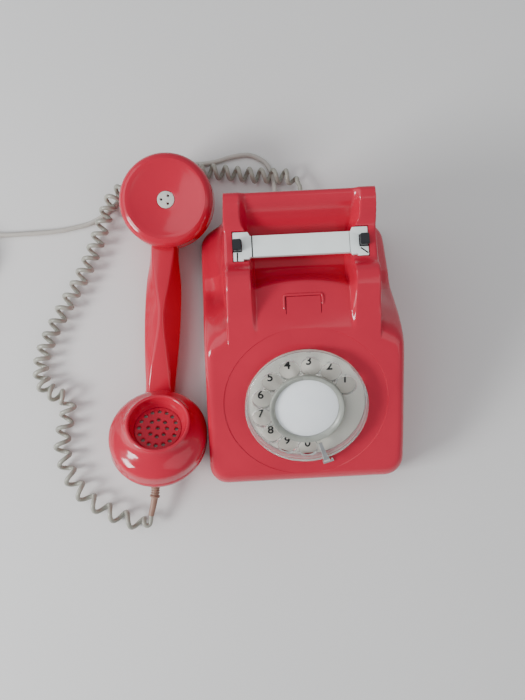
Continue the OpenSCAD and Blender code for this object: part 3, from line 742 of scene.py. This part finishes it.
def case_sheet(wall):
    """Plan points, their insets from the plan's edge and faces, and the outermost ring."""
    x, y = plan_lines()
    nx, ny = len(x), len(y)
    points = [(a, b) for b in y for a in x]
    inset = [float(GRID_INSET)] * len(points)
    faces = grid_quads(nx, ny)
    ring = ([("f", x[i] / GRID_X, i) for i in range(nx)]
            + [("r", y[j] / GRID_Y, j * nx + nx - 1) for j in range(1, ny)]
            + [("b", x[i] / GRID_X, (ny - 1) * nx + i) for i in range(nx - 2, -1, -1)]
            + [("l", y[j] / GRID_Y, j * nx) for j in range(ny - 2, 0, -1)])
    columns = []
    for side, share, _ in ring:
        d = 8.0
        for _ in range(3):
            px, py = rim_point(side, share, d)
            height = float(body_height(np.array([px]), np.array([py]))[0]) - wall
            r = float(edge_radius(py))
            d = row_inset(WALL_ROWS + ARC_ROWS // 2, height, r)
        columns.append([max(row_inset(k, height, r), wall)
                        for k in range(WALL_ROWS + ARC_ROWS + FLAT_ROWS + 1)])
    before = [index for _, _, index in ring]
    n = len(ring)
    for row in range(WALL_ROWS + ARC_ROWS + FLAT_ROWS, -1, -1):
        now = []
        for (side, share, _), insets in zip(ring, columns):
            d = insets[row] + (wall * 1e-3 * row if insets[row] <= wall else 0)
            now.append(len(points))
            points.append(rim_point(side, share, d))
            inset.append(d)
        faces += [(before[k], now[k], now[(k + 1) % n], before[(k + 1) % n]) for k in range(n)]
        before = now
    return np.array(points), np.array(inset), faces, before


def under_height(x, y):
    """Height of the case's inner face, a wall's thickness inside the outer one."""
    around = [body_height(x + WALL * math.cos(t), y + WALL * math.sin(t)) - 1.0
              for t in np.arange(8) * math.tau / 8]
    under = np.min(around + [body_height(x, y) - WALL], axis=0)
    under_bar = (np.abs(x) < 43) & (y > 40) & (y < 65)
    return np.maximum(np.where(under_bar, np.minimum(under, 81.4), under), 5.5)


def surface_patch(name, low, high, below, above):
    """A piece of the case's top between two plan corners, from below it to above it."""
    xs = np.linspace(low[0], high[0], 25)
    ys = np.linspace(low[1], high[1], 17)
    gx, gy = np.meshgrid(xs, ys)
    gz = body_height(gx, gy)
    top = np.stack([gx, gy, gz + above], -1).reshape(-1, 3)
    under = np.stack([gx, gy, gz - below], -1).reshape(-1, 3)
    nx, ny = len(xs), len(ys)
    n = nx * ny
    faces = []
    for quad in grid_quads(nx, ny):
        faces += [quad, tuple(n + k for k in quad[::-1])]
    rim = ([i for i in range(nx)] + [j * nx + nx - 1 for j in range(1, ny)]
           + [(ny - 1) * nx + i for i in range(nx - 2, -1, -1)]
           + [j * nx for j in range(ny - 2, 0, -1)])
    for k, a in enumerate(rim):
        b = rim[(k + 1) % len(rim)]
        faces.append((a, n + a, n + b, b))
    return tidy_normals(mesh_object(name, np.vstack([top, under]) * MM, faces), 30)


def make_case():
    plan, inset, faces, rim = case_sheet(0.0)
    x, y = plan[:, 0], plan[:, 1]
    outer = np.column_stack([x, y, with_walls(body_height(x, y), inset, edge_radius(y))])
    plan, inset, inner_faces, inner_rim = case_sheet(WALL)
    x, y = plan[:, 0], plan[:, 1]
    inner = np.column_stack([x, y, with_walls(under_height(x, y), inset - WALL, 3.0)])
    n = len(outer)
    count = len(rim)
    faces = faces + [tuple(n + i for i in f[::-1]) for f in inner_faces]
    for k in range(count):
        m = (k + 1) % count
        faces.append((rim[k], n + inner_rim[k], n + inner_rim[m], rim[m]))
    case = tidy_normals(mesh_object("case_shell", np.vstack([outer, inner]) * MM, faces), 30)
    cutters = [
        revolve("cutter", [(0, -14), (36.2, -14), (36.2, 4), (0, 4)], 128, DIAL_MM),
        box_cutter((-39.8, 43.5, 84), (39.8, 61.7, 96)),
        box_cutter((-7.7, 12.7, 74), (7.7, 20.1, 90)),
    ]
    for side in (-1, 1):
        cutters.append(box_cutter((side * PLUNGER_X - 2.8, 49.5, 78),
                                  (side * PLUNGER_X + 2.8, 56.5, 84.5)))
        cutters.append(revolve("cutter", [(0, 78), (1.6, 78), (1.6, 84.5), (0, 84.5)], 24,
                               placed((side * PLUNGER_X, BAR_SCREW_Y, 0)) @ IN_MM))
    for exit_x in CORD_EXITS_X:
        cutters.append(revolve("cutter", [(0, -6), (3, -6), (3, 3), (0, 3)], 32,
                               placed((exit_x, HALF_D, CORD_EXIT_Z), (-90, "X")) @ IN_MM))
    ring = revolve("cutter", [(0, -6.9), (50.2, -6.9), (51.2, -5.8), (51.2, 3), (0, 3)], 160,
                   DIAL_MM)
    cut(case, ring)
    cut(case, join("cutter", cutters))
    # the walls of the recess round the blanking panel get painted shade
    cut(case, surface_patch("cutter", (-10.45, 12.5), (10.45, 22.85), 1.3, 4), paint_shade=True)
    tidy_normals(case, 30)
    finish_with(case, "red_case", "base", "case")


make_case()


# ---- blanking plug ----

def make_blanking_plug():
    panel = surface_patch("panel", (-10.1, 12.2), (10.1, 22.5), 1.15, 0.03)
    body = prism("body", [(-7.4 * MM, 12.9 * MM), (7.4 * MM, 12.9 * MM), (7.4 * MM, 19.8 * MM),
                          (-7.4 * MM, 19.8 * MM)], 77 * MM, 82.2 * MM)
    path = round_corners([(-11.3, 15.0), (-11.3, 23.6), (11.3, 23.6), (11.3, 17.5)], 1.6, 6, False)
    path = even_line(np.array([(x, y, 0) for x, y in path]), 0.5)
    height = body_height(path[:, 0], path[:, 1])
    path[:, 2] = height - 0.15
    thin = np.clip(np.minimum(np.arange(len(path)), np.arange(len(path))[::-1]) / 6, 0, 1)
    rim = tube("rim", path * MM, (0.5 + 0.4 * np.sqrt(thin)) * MM, 12)
    plug = join("blanking_panel", [panel, body, rim])
    finish_with(tidy_normals(plug, 35), "red_case", "base", "blanking_plug")


make_blanking_plug()


# ---- bar between the horns ----

def mirrored(points):
    """An outline's right half, from front to back, closed by its mirror image."""
    return list(points) + [(-x, y) for x, y in reversed(points)]


def slot_cutter(x, y, long, wide, degrees, low, high):
    turn = Matrix.Rotation(math.radians(degrees), 3, "Z")
    corners = [(-long / 2, -wide / 2), (long / 2, -wide / 2), (long / 2, wide / 2),
               (-long / 2, wide / 2)]
    corners = [turn @ Vector((a, b, 0)) for a, b in corners]
    return prism("cutter", [((x + c.x) * MM, (y + c.y) * MM) for c in corners],
                 low * MM, high * MM)


def make_bar():
    right = [(29.5, 46.4), (30.2, 45.2), (33.4, 45.2), (33.4, 44.0), (39.4, 44.0), (39.4, 49.4),
             (34.1, 49.4), (34.1, 56.6), (39.4, 56.6), (39.4, 61.2), (30.4, 61.2), (29.4, 58.8)]
    outline = [(x * MM, y * MM) for x, y in round_corners(mirrored(right), 0.5, 3)]
    bar = prism("bar", outline, 84 * MM, 87.6 * MM, 0.2 * MM)
    grooves = [slot_cutter(-28.2, 52.6, 14, 0.75, 90, 87.0, 89),
               slot_cutter(28.6, 52.6, 14, 0.3, 90, 87.35, 89)]
    slots = [slot_cutter(-37.0, 46.6, 5.2, 0.85, 88, 86.9, 89),
             slot_cutter(36.9, 47.0, 5.4, 0.85, -38, 86.9, 89)]
    # the walls of the grooves and screw slots get painted shade
    cut(bar, *grooves, *slots, paint_shade=True)
    tidy_normals(bar, 30)
    finish_with(bar, "bar_plastic", "base", "carrying_bar")
    screws = []
    for side in (-1, 1):
        matrix = placed((side * PLUNGER_X, BAR_SCREW_Y, 0)) @ IN_MM
        screws.append(revolve("screw", [(0, 68), (1.4, 68), (1.4, 84.6), (1.6, 84.6), (1.6, 86.7),
                                        (1.3, 86.85), (0, 86.85)], 24, matrix))
    finish_with(tidy_normals(join("bar_screw_pair", screws)), "steel", "base", "bar_screws")


SPRING_LOW = 65.5
SPRING_HIGH = 9.8    # between the middles of the wire at both ends
SPRING_TURNS = 5
SPRING_R = 2.7
SPRING_WIRE_R = 0.35


def make_plunger_springs():
    """Both springs, built at rest length; the real ones shorten as the plungers go down."""
    springs = []
    for side in (-1, 1):
        turns = np.linspace(0, SPRING_TURNS, 241)
        line = np.stack([side * PLUNGER_X + SPRING_R * np.cos(math.tau * turns),
                         PLUNGER_Y + SPRING_R * np.sin(math.tau * turns),
                         SPRING_LOW + SPRING_WIRE_R
                         + SPRING_HIGH * turns / SPRING_TURNS], axis=1)
        springs.append(tube("spring", line * MM, SPRING_WIRE_R * MM, 10))
    pair = join("plunger_spring_pair", springs)
    finish_with(pair, "steel", "base", "plunger_springs")
    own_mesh(pair)


make_bar()
make_plunger_springs()


# ---- dial ----

WHEEL_R = 37.5
HOLE_R = 6.0
HOLE_RING = 27.5
FIRST_HOLE = 31.0
HOLE_STEP = 26.6


def make_finger_wheel():
    points = [(3, -6.5), (9, -6.5), (9, -3.2), (9.3, -3.0), (36.0, -3.0), (36.1, -4.3),
              (36.4, -4.9), (36.9, -5.0), (37.3, -4.7), (WHEEL_R, -4.1), (WHEEL_R, -1.0),
              (37.4, -0.6), (37.1, -0.25), (36.6, -0.05), (36.0, 0), (23.4, 0), (23.0, 0.1),
              (22.85, 0.1), (22.85, -1.5), (3, -1.5)]
    wheel = revolve("finger_wheel_clear", points, 160, DIAL_MM)
    hole = [(0, -5), (6.2, -5), (6.2, -3.02), (6.05, -2.8), (HOLE_R, -2.5), (HOLE_R, -0.8),
            (6.04, -0.5), (6.12, -0.25), (6.22, -0.08), (6.3, 0.02), (6.3, 2), (0, 2)]
    holes = []
    for k in range(10):
        turn = Matrix.Rotation(math.radians(FIRST_HOLE + k * HOLE_STEP), 4, "Z")
        place = DIAL @ turn @ Matrix.Translation((HOLE_RING * MM, 0, 0)) @ IN_MM
        holes.append(revolve("cutter", hole, 48, place))
    cut(wheel, join("cutter", holes))
    tidy_normals(wheel, 28)
    finish_with(wheel, "clear_plastic", "dial_wheel", "finger_wheel")
    ring = revolve("label_ring", [(19.5, -1.45), (22.75, -1.45), (22.75, 0.9), (22.55, 1.35),
                                  (22.2, 1.6), (21.6, 1.6), (20.9, 1.3), (20.1, 0.8),
                                  (19.5, 0.2)], 128, DIAL_MM)
    finish_with(ring, "hub_ring", "dial_wheel")
    card = revolve("label_disc", [(0, -1.5), (19.2, -1.5), (19.3, -1.4), (19.3, -1.15),
                                  (19.15, -1.05), (0, -1.05)], 96, DIAL_MM)
    finish_with(card, "label", "dial_wheel", "label_card")
    cover = revolve("label_window", [(0, -1.0), (19.45, -1.0), (19.45, -0.2), (19.2, 0.1),
                                     (18.4, 0.3), (14.5, 0.6), (8, 0.85), (0, 0.95)], 96, DIAL_MM)
    finish_with(cover, "label_window", "dial_wheel", "label_cover")


def make_number_plate():
    plate = revolve("number_plate_disc", [(12, -9.55), (35.6, -9.55), (36.0, -9.2), (36.0, -8.3),
                                          (35.7, -8.0), (12.2, -8.0), (12, -8.2)], 128, DIAL_MM)
    finish_with(plate, "number_plate", "base", "number_plate")
    digits = []
    for k in range(10):
        curve = bpy.data.curves.new("digit", "FONT")
        curve.body = str((k + 1) % 10)
        curve.size = 1.0
        curve.offset = 0.022
        curve.extrude = 0.01
        flat = bpy.data.objects.new("digit", curve)
        bpy.context.scene.collection.objects.link(flat)
        graph = bpy.context.evaluated_depsgraph_get()
        mesh = bpy.data.meshes.new_from_object(flat.evaluated_get(graph))
        bpy.data.objects.remove(flat)
        points = np.array([v.co[:] for v in mesh.vertices])
        low, high = points.min(axis=0), points.max(axis=0)
        scale = 5.7 / (high[1] - low[1])
        angle = math.radians(33.0 + k * 26.45)
        middle = np.array([28.5 * math.cos(angle), 28.5 * math.sin(angle)])
        for vertex, co in zip(mesh.vertices, points):
            x, y = (co[:2] - (low[:2] + high[:2]) / 2) * scale + middle
            vertex.co = DIAL_MM @ Vector((x, y, -7.88 if co[2] > 0 else -8.04))
        digits.append(mesh_object("digit", [v.co for v in mesh.vertices],
                                  [tuple(p.vertices) for p in mesh.polygons], False))
    piece = tidy_normals(join("dial_digits", digits), 20)
    finish_with(piece, "black_plastic", "base")
    piece.data.materials[0] = PRINT


def ribbon(name, path, widths, thick, matrix):
    """A strip bent along a path in the (x, z) plane, widths across y, with rounded edges."""
    path = smooth_line([(x, 0, z) for x, z in path], 0.4)
    run = np.linspace(0, len(widths) - 1, len(path))
    wide = np.interp(run, np.arange(len(widths)), widths)
    tangent = np.gradient(path, axis=0)
    tangent /= np.linalg.norm(tangent, axis=1)[:, None]
    normal = np.stack([-tangent[:, 2], tangent[:, 1] * 0, tangent[:, 0]], axis=1)
    h, c = thick / 2, thick * 0.3
    points = []
    for p, n, w in zip(path, normal, wide):
        for a, b in ((-w / 2 + c, -h), (w / 2 - c, -h), (w / 2, -h + c), (w / 2, h - c),
                     (w / 2 - c, h), (-w / 2 + c, h), (-w / 2, h - c), (-w / 2, -h + c)):
            points.append(matrix @ Vector(p + n * b + np.array([0, a, 0])))
    faces = [tuple(range(8))[::-1], tuple(range(len(points) - 8, len(points)))]
    faces += skin(len(path), 8)
    return tidy_normals(mesh_object(name, points, faces), 35)


def make_finger_stop():
    path = [(24.3, 1.75), (26, 1.9), (30, 2.0), (34, 2.0), (36.8, 1.8), (38.6, 0.9),
            (39.5, -0.9), (40.0, -3.0), (40.7, -4.8), (42.2, -5.8), (44.4, -6.0)]
    widths = [2.3, 2.4, 2.6, 2.8, 3.2, 3.8, 4.4, 5.2, 6.0, 6.8, 7.0]
    turn = DIAL @ Matrix.Rotation(math.radians(-72), 4, "Z") @ IN_MM
    stop = ribbon("finger_stop_strip", path, widths, 0.9, turn)
    finish_with(stop, "bright_steel", "base", "finger_stop")


make_finger_wheel()
make_number_plate()
make_finger_stop()


# ---- handset ----

HANDSET = placed((-89, 24, 0), (-4.4, "Z"))
EAR_LEAN = 9.0
EAR = (HANDSET @ placed((-0.7, 77.5, 36), (EAR_LEAN, "X"))
       @ Matrix.Translation((0, 0, -35.6 * MM)))
MOUTH = HANDSET @ placed((0, -81, 28.5), (-27, "X"))
CORD_END = HANDSET @ placed((-3, -102, 13.5), (98, "X"), (-2, "Z"))
CAP_R = 31.4
# the mouth cap's collar leans a little across the handset: sideways by a share of its height
LEAN = IN_MM @ Matrix(((1, 0, 0.105, -0.2), (0, 1, 0, 0), (0, 0, 1, 0), (0, 0, 0, 1)))

# along the grip: half width, half width of the flat on top, and heights of top, edge and bottom
GRIP = [(-64, 13, 10.5, 12, 8, 3), (-46, 10.6, 7.6, 14.5, 9.5, 3),
        (-34, 11.2, 6.2, 17.5, 11.5, 3), (-22, 11.9, 4.3, 20, 12.5, 3),
        (3, 12.7, 1.6, 24, 14, 3), (25, 12.1, 5.0, 25.6, 15.5, 3), (44, 9.9, 7.6, 26, 17, 3),
        (62, 10, 8.4, 26, 18, 4)]
GRIP_X = -2.8


def smooth_rows(rows, step):
    """Rows of numbers drawn smoothly through, about step apart in the first number."""
    q = np.array(rows, float)
    at = np.arange(q[0, 0], q[-1, 0] + 1e-6, step)
    slopes = np.gradient(q, q[:, 0], axis=0)
    out = [at]
    for k in range(1, q.shape[1]):
        i = np.clip(np.searchsorted(q[:, 0], at, "right") - 1, 0, len(q) - 2)
        span = q[i + 1, 0] - q[i, 0]
        t = (at - q[i, 0]) / span
        out.append((2 * t ** 3 - 3 * t ** 2 + 1) * q[i, k] + (t ** 3 - 2 * t ** 2 + t) * span
                   * slopes[i, k] + (3 * t ** 2 - 2 * t ** 3) * q[i + 1, k]
                   + (t ** 3 - t ** 2) * span * slopes[i + 1, k])
    return np.stack(out, axis=1)


def make_grip():
    """The straight part of the handset, one rounded ring for each row of GRIP."""
    points = []
    rows = smooth_rows(GRIP, 2.0)
    for y, w, flat, top, edge, low in rows:
        ring = [(-flat, top), (flat, top), (w, edge), (w * 0.85, low + 3), (w * 0.5, low),
                (-w * 0.5, low), (-w * 0.85, low + 3), (-w, edge)]
        soft = min(1.6, flat * 0.9)
        ring = round_corners(ring, [soft, soft, 1.7, 2, 2, 2, 2, 1.7], 4)
        points += [HANDSET @ (Vector((x + GRIP_X, y, z)) * MM) for x, z in ring]
    n = len(points) // len(rows)
    faces = [tuple(range(n)), tuple(range(len(points) - n, len(points)))[::-1]]
    for j in range(len(rows) - 1):
        for i in range(n):
            m = (i + 1) % n
            faces.append((j * n + m, j * n + i, j * n + n + i, j * n + n + m))
    return tidy_normals(mesh_object("grip", points, faces), 40)


def bowl(place):
    """The hollow lower half of an end of the handset."""
    outer = smooth_line([(0, 0, 0), (9, 0, 0.4), (17, 0, 3), (24, 0, 8.5), (29, 0, 16),
                         (CAP_R, 0, 22.5), (CAP_R, 0, 25.6)], 1.1)
    inner = smooth_line([(28.6, 0, 26), (28.4, 0, 22), (26, 0, 17), (21, 0, 10.6),
                         (14, 0, 6), (0, 0, 4)], 2.2)
    points = ([(max(0.0, p[0]) if i else 0.0, p[2]) for i, p in enumerate(outer)]
              + [(CAP_R - 0.3, 26)] + [(p[0], p[2]) for p in inner[:-1]] + [(0.0, 4.0)])
    return revolve("bowl", points, 96, place @ IN_MM)


def unite(obj, *others):
    """Joins other closed pieces to a piece as one solid."""
    for other in others:
        boolean(obj, other, "UNION")
    return obj


def make_handle():
    grip = make_grip()
    cut(grip,
        revolve("cutter", [(0, 4.2), (26, 4.2), (26, 60), (0, 60)], 96, EAR @ IN_MM),
        revolve("cutter", [(0, -20.8), (24, -20.8), (24, 60), (0, 60)], 96, MOUTH @ IN_MM))
    lift = Matrix.Translation((0, 0, 0.4 * MM))
    drop = Matrix.Translation((0, 0, -24.4 * MM))
    unite(grip, bowl(EAR @ lift), bowl(MOUTH @ drop))
    cut(grip, revolve("cutter", [(0, 0), (2.65, 0), (2.65, 30), (0, 30)], 32, CORD_END @ IN_MM))
    grip.name = grip.data.name = "handset_body"
    tidy_normals(grip, 34)
    finish_with(grip, "red_handset", "handset", "handset_handle")


def arc_points(cx, cz, r, start, end, count):
    """Points of an arc round (cx, cz), from start to end degrees."""
    return [(cx + r * math.cos(math.radians(start + (end - start) * i / count)),
             cz + r * math.sin(math.radians(start + (end - start) * i / count)))
            for i in range(count + 1)]


def curve_points(points, step):
    """A smooth profile through the points, step apart."""
    return [(p[0], p[2]) for p in smooth_line([(r, 0, z) for r, z in points], step)]


def make_ear_cap():
    dish = curve_points([(26.6, 40.25), (24.6, 39.95), (21.5, 39.1), (17, 38.1), (12, 37.2),
                         (8, 36.7), (6.2, 36.5)], 0.8)
    profile_points = ([(CAP_R - 2.8, 26.8), (CAP_R - 0.35, 26.8), (CAP_R, 27.15)]
                      + arc_points(CAP_R - 6, 34.3, 6, 0, 76, 14) + dish
                      + [(5.95, 36.35), (5.9, 36.0), (5.9, 35.4), (0, 35.4), (0, 32.4), (20, 34),
                         (CAP_R - 6, 36), (CAP_R - 3, 33)])
    cap = revolve("ear_cap", profile_points, 128, EAR @ IN_MM)
    disc = revolve("ear_disc", [(0, 35.45), (5.55, 35.45), (5.75, 35.6), (5.75, 36.5), (5.5, 36.8),
                                (4.6, 36.95), (0, 37.0)], 64, EAR @ IN_MM)
    for angle in (60, 180, 300):
        turn = Matrix.Rotation(math.radians(angle), 4, "Z")
        place = EAR @ turn @ Matrix.Translation((3 * MM, 0, 0)) @ IN_MM
        hole = [(0, 30), (0.8, 30), (0.8, 36.6), (1.15, 37.05), (1.15, 39), (0, 39)]
        cut(cap, revolve("cutter", hole, 24, place))
        cut(disc, revolve("cutter", hole, 24, place))
    finish_with(tidy_normals(cap, 30), "red_handset", "handset", "earpiece_cap")
    finish_with(tidy_normals(disc, 30), "ear_plastic", "handset", "ear_insert")


def make_mouth_cap():
    outside = curve_points([(CAP_R, 7.6), (31.1, 10.2), (29.9, 12.5), (27.8, 14.8), (25.2, 16.8),
                            (22.9, 18.9), (21.3, 21.4), (20.3, 23.9)], 0.6)
    inside = curve_points([(17.7, 23.9), (17.2, 21.4), (16.4, 19.1), (15.4, 17.5), (14.95, 16.9)],
                          0.6)
    profile_points = ([(CAP_R - 2.8, 1.75), (CAP_R - 0.25, 1.75), (CAP_R, 2.0)] + outside
                      + arc_points(19.0, 24.0, 1.25, 10, 170, 10) + inside
                      + [(14.9, 15), (21, 14), (25.5, 9.5), (CAP_R - 3, 7)])
    cap = revolve("mouth_cap", profile_points, 128, MOUTH @ LEAN)
    finish_with(tidy_normals(cap, 34), "red_handset", "handset", "mouthpiece_cap")
    grille = revolve("mouth_grille_dome", [(0, 15.1), (14.8, 15.1), (14.85, 15.3), (14.85, 16.6),
                                           (14.6, 16.9), (12.5, 17.15), (7, 17.45), (0, 17.6)],
                     96, MOUTH @ LEAN)
    holes = []
    for count, radius in ((1, 0), (8, 5.9), (16, 11.8)):
        for k in range(count):
            turn = Matrix.Rotation(math.tau * k / count, 4, "Z")
            place = MOUTH @ LEAN @ turn @ Matrix.Translation((radius, 0, 0))
            top = 17.6 - 0.0031 * radius ** 2
            holes.append(revolve("cutter", [(0, 12), (1.25, 12), (1.25, top - 0.35),
                                            (1.6, top + 0.05), (1.6, 21), (0, 21)], 20, place))
    cut(grille, join("cutter", holes))
    finish_with(tidy_normals(grille, 30), "red_handset", "handset", "mouth_grille")
    backing = revolve("grille_backing", [(0, 13.9), (13.8, 13.9), (13.9, 14.1), (13.8, 14.5),
                                         (0, 14.5)], 64, MOUTH @ LEAN)
    finish_with(backing, "ear_plastic", "handset")


def make_handset_boot():
    """Ribbed sleeve and bent tail where the cord leaves the mouth end."""
    points = [(0, 2.55), (10.8, 2.55), (11.0, 2.9), (11.6, 2.9), (11.8, 2.5), (12.4, 2.5),
              (12.6, 2.9), (13.2, 2.9), (13.4, 2.5), (14.0, 2.5), (14.2, 2.9), (14.8, 2.9),
              (15.0, 2.5), (15.8, 2.5), (16.0, 3.2), (16.3, 3.45), (17.0, 3.45), (17.3, 3.1),
              (17.6, 2.35), (24, 2.1), (29.2, 1.95), (29.8, 1.8), (30, 1.3)]
    at = np.arange(0, 30.05, 0.2)
    radius = np.interp(at, [p[0] for p in points], [p[1] for p in points])
    bend = -2.6 * (np.maximum(at - 12, 0) / 18) ** 1.5
    place = CORD_END @ IN_MM
    line = np.array([place @ Vector((x, 0, z)) for x, z in zip(bend, at)])
    boot = tube("handset_boot_ribbed", line, radius * MM, 24)
    finish_with(boot, "boot_rubber", "handset", "handset_boot")


make_handle()
make_ear_cap()
make_mouth_cap()
make_handset_boot()


# ---- floor, light ----

def make_floor():
    floor = prism("floor", [(-2.5, -2.5), (2.5, -2.5), (2.5, 2.5), (-2.5, 2.5)], -0.02, 0.0)
    mat = material("floor", (0.74, 0.73, 0.71), 0.6, spread=0.02, spread_scale=3, bump=0.1,
                   bump_scale=300)
    floor.data.materials.append(mat)


def area_light(name, place, target, size, power, colour=(1, 1, 1)):
    data = bpy.data.lights.new(name, "AREA")
    data.shape = "RECTANGLE"
    data.size, data.size_y = size
    data.energy = power
    data.color = colour
    light = bpy.data.objects.new(name, data)
    light.location = place
    light.rotation_euler = (Vector(target) - Vector(place)).to_track_quat("-Z", "Y").to_euler()
    bpy.context.scene.collection.objects.link(light)


make_floor()
area_light("window", (-1.05, -0.35, 0.62), (-0.05, 0, 0), (0.42, 0.34), 15, (0.97, 0.98, 1.0))
area_light("room_left", (-1.1, 0.45, 1.3), (-0.05, 0, 0), (1.5, 1.5), 9.5, (0.95, 0.97, 1.0))
area_light("fill", (0.9, -0.5, 1.3), (0, 0, 0), (1.4, 1.4), 5.0, (1.0, 0.97, 0.94))
world = bpy.data.worlds.new("room")
world.use_nodes = True
world.node_tree.nodes["Background"].inputs["Color"].default_value = (0.9, 0.94, 1.0, 1)
world.node_tree.nodes["Background"].inputs["Strength"].default_value = 0.5
bpy.context.scene.world = world
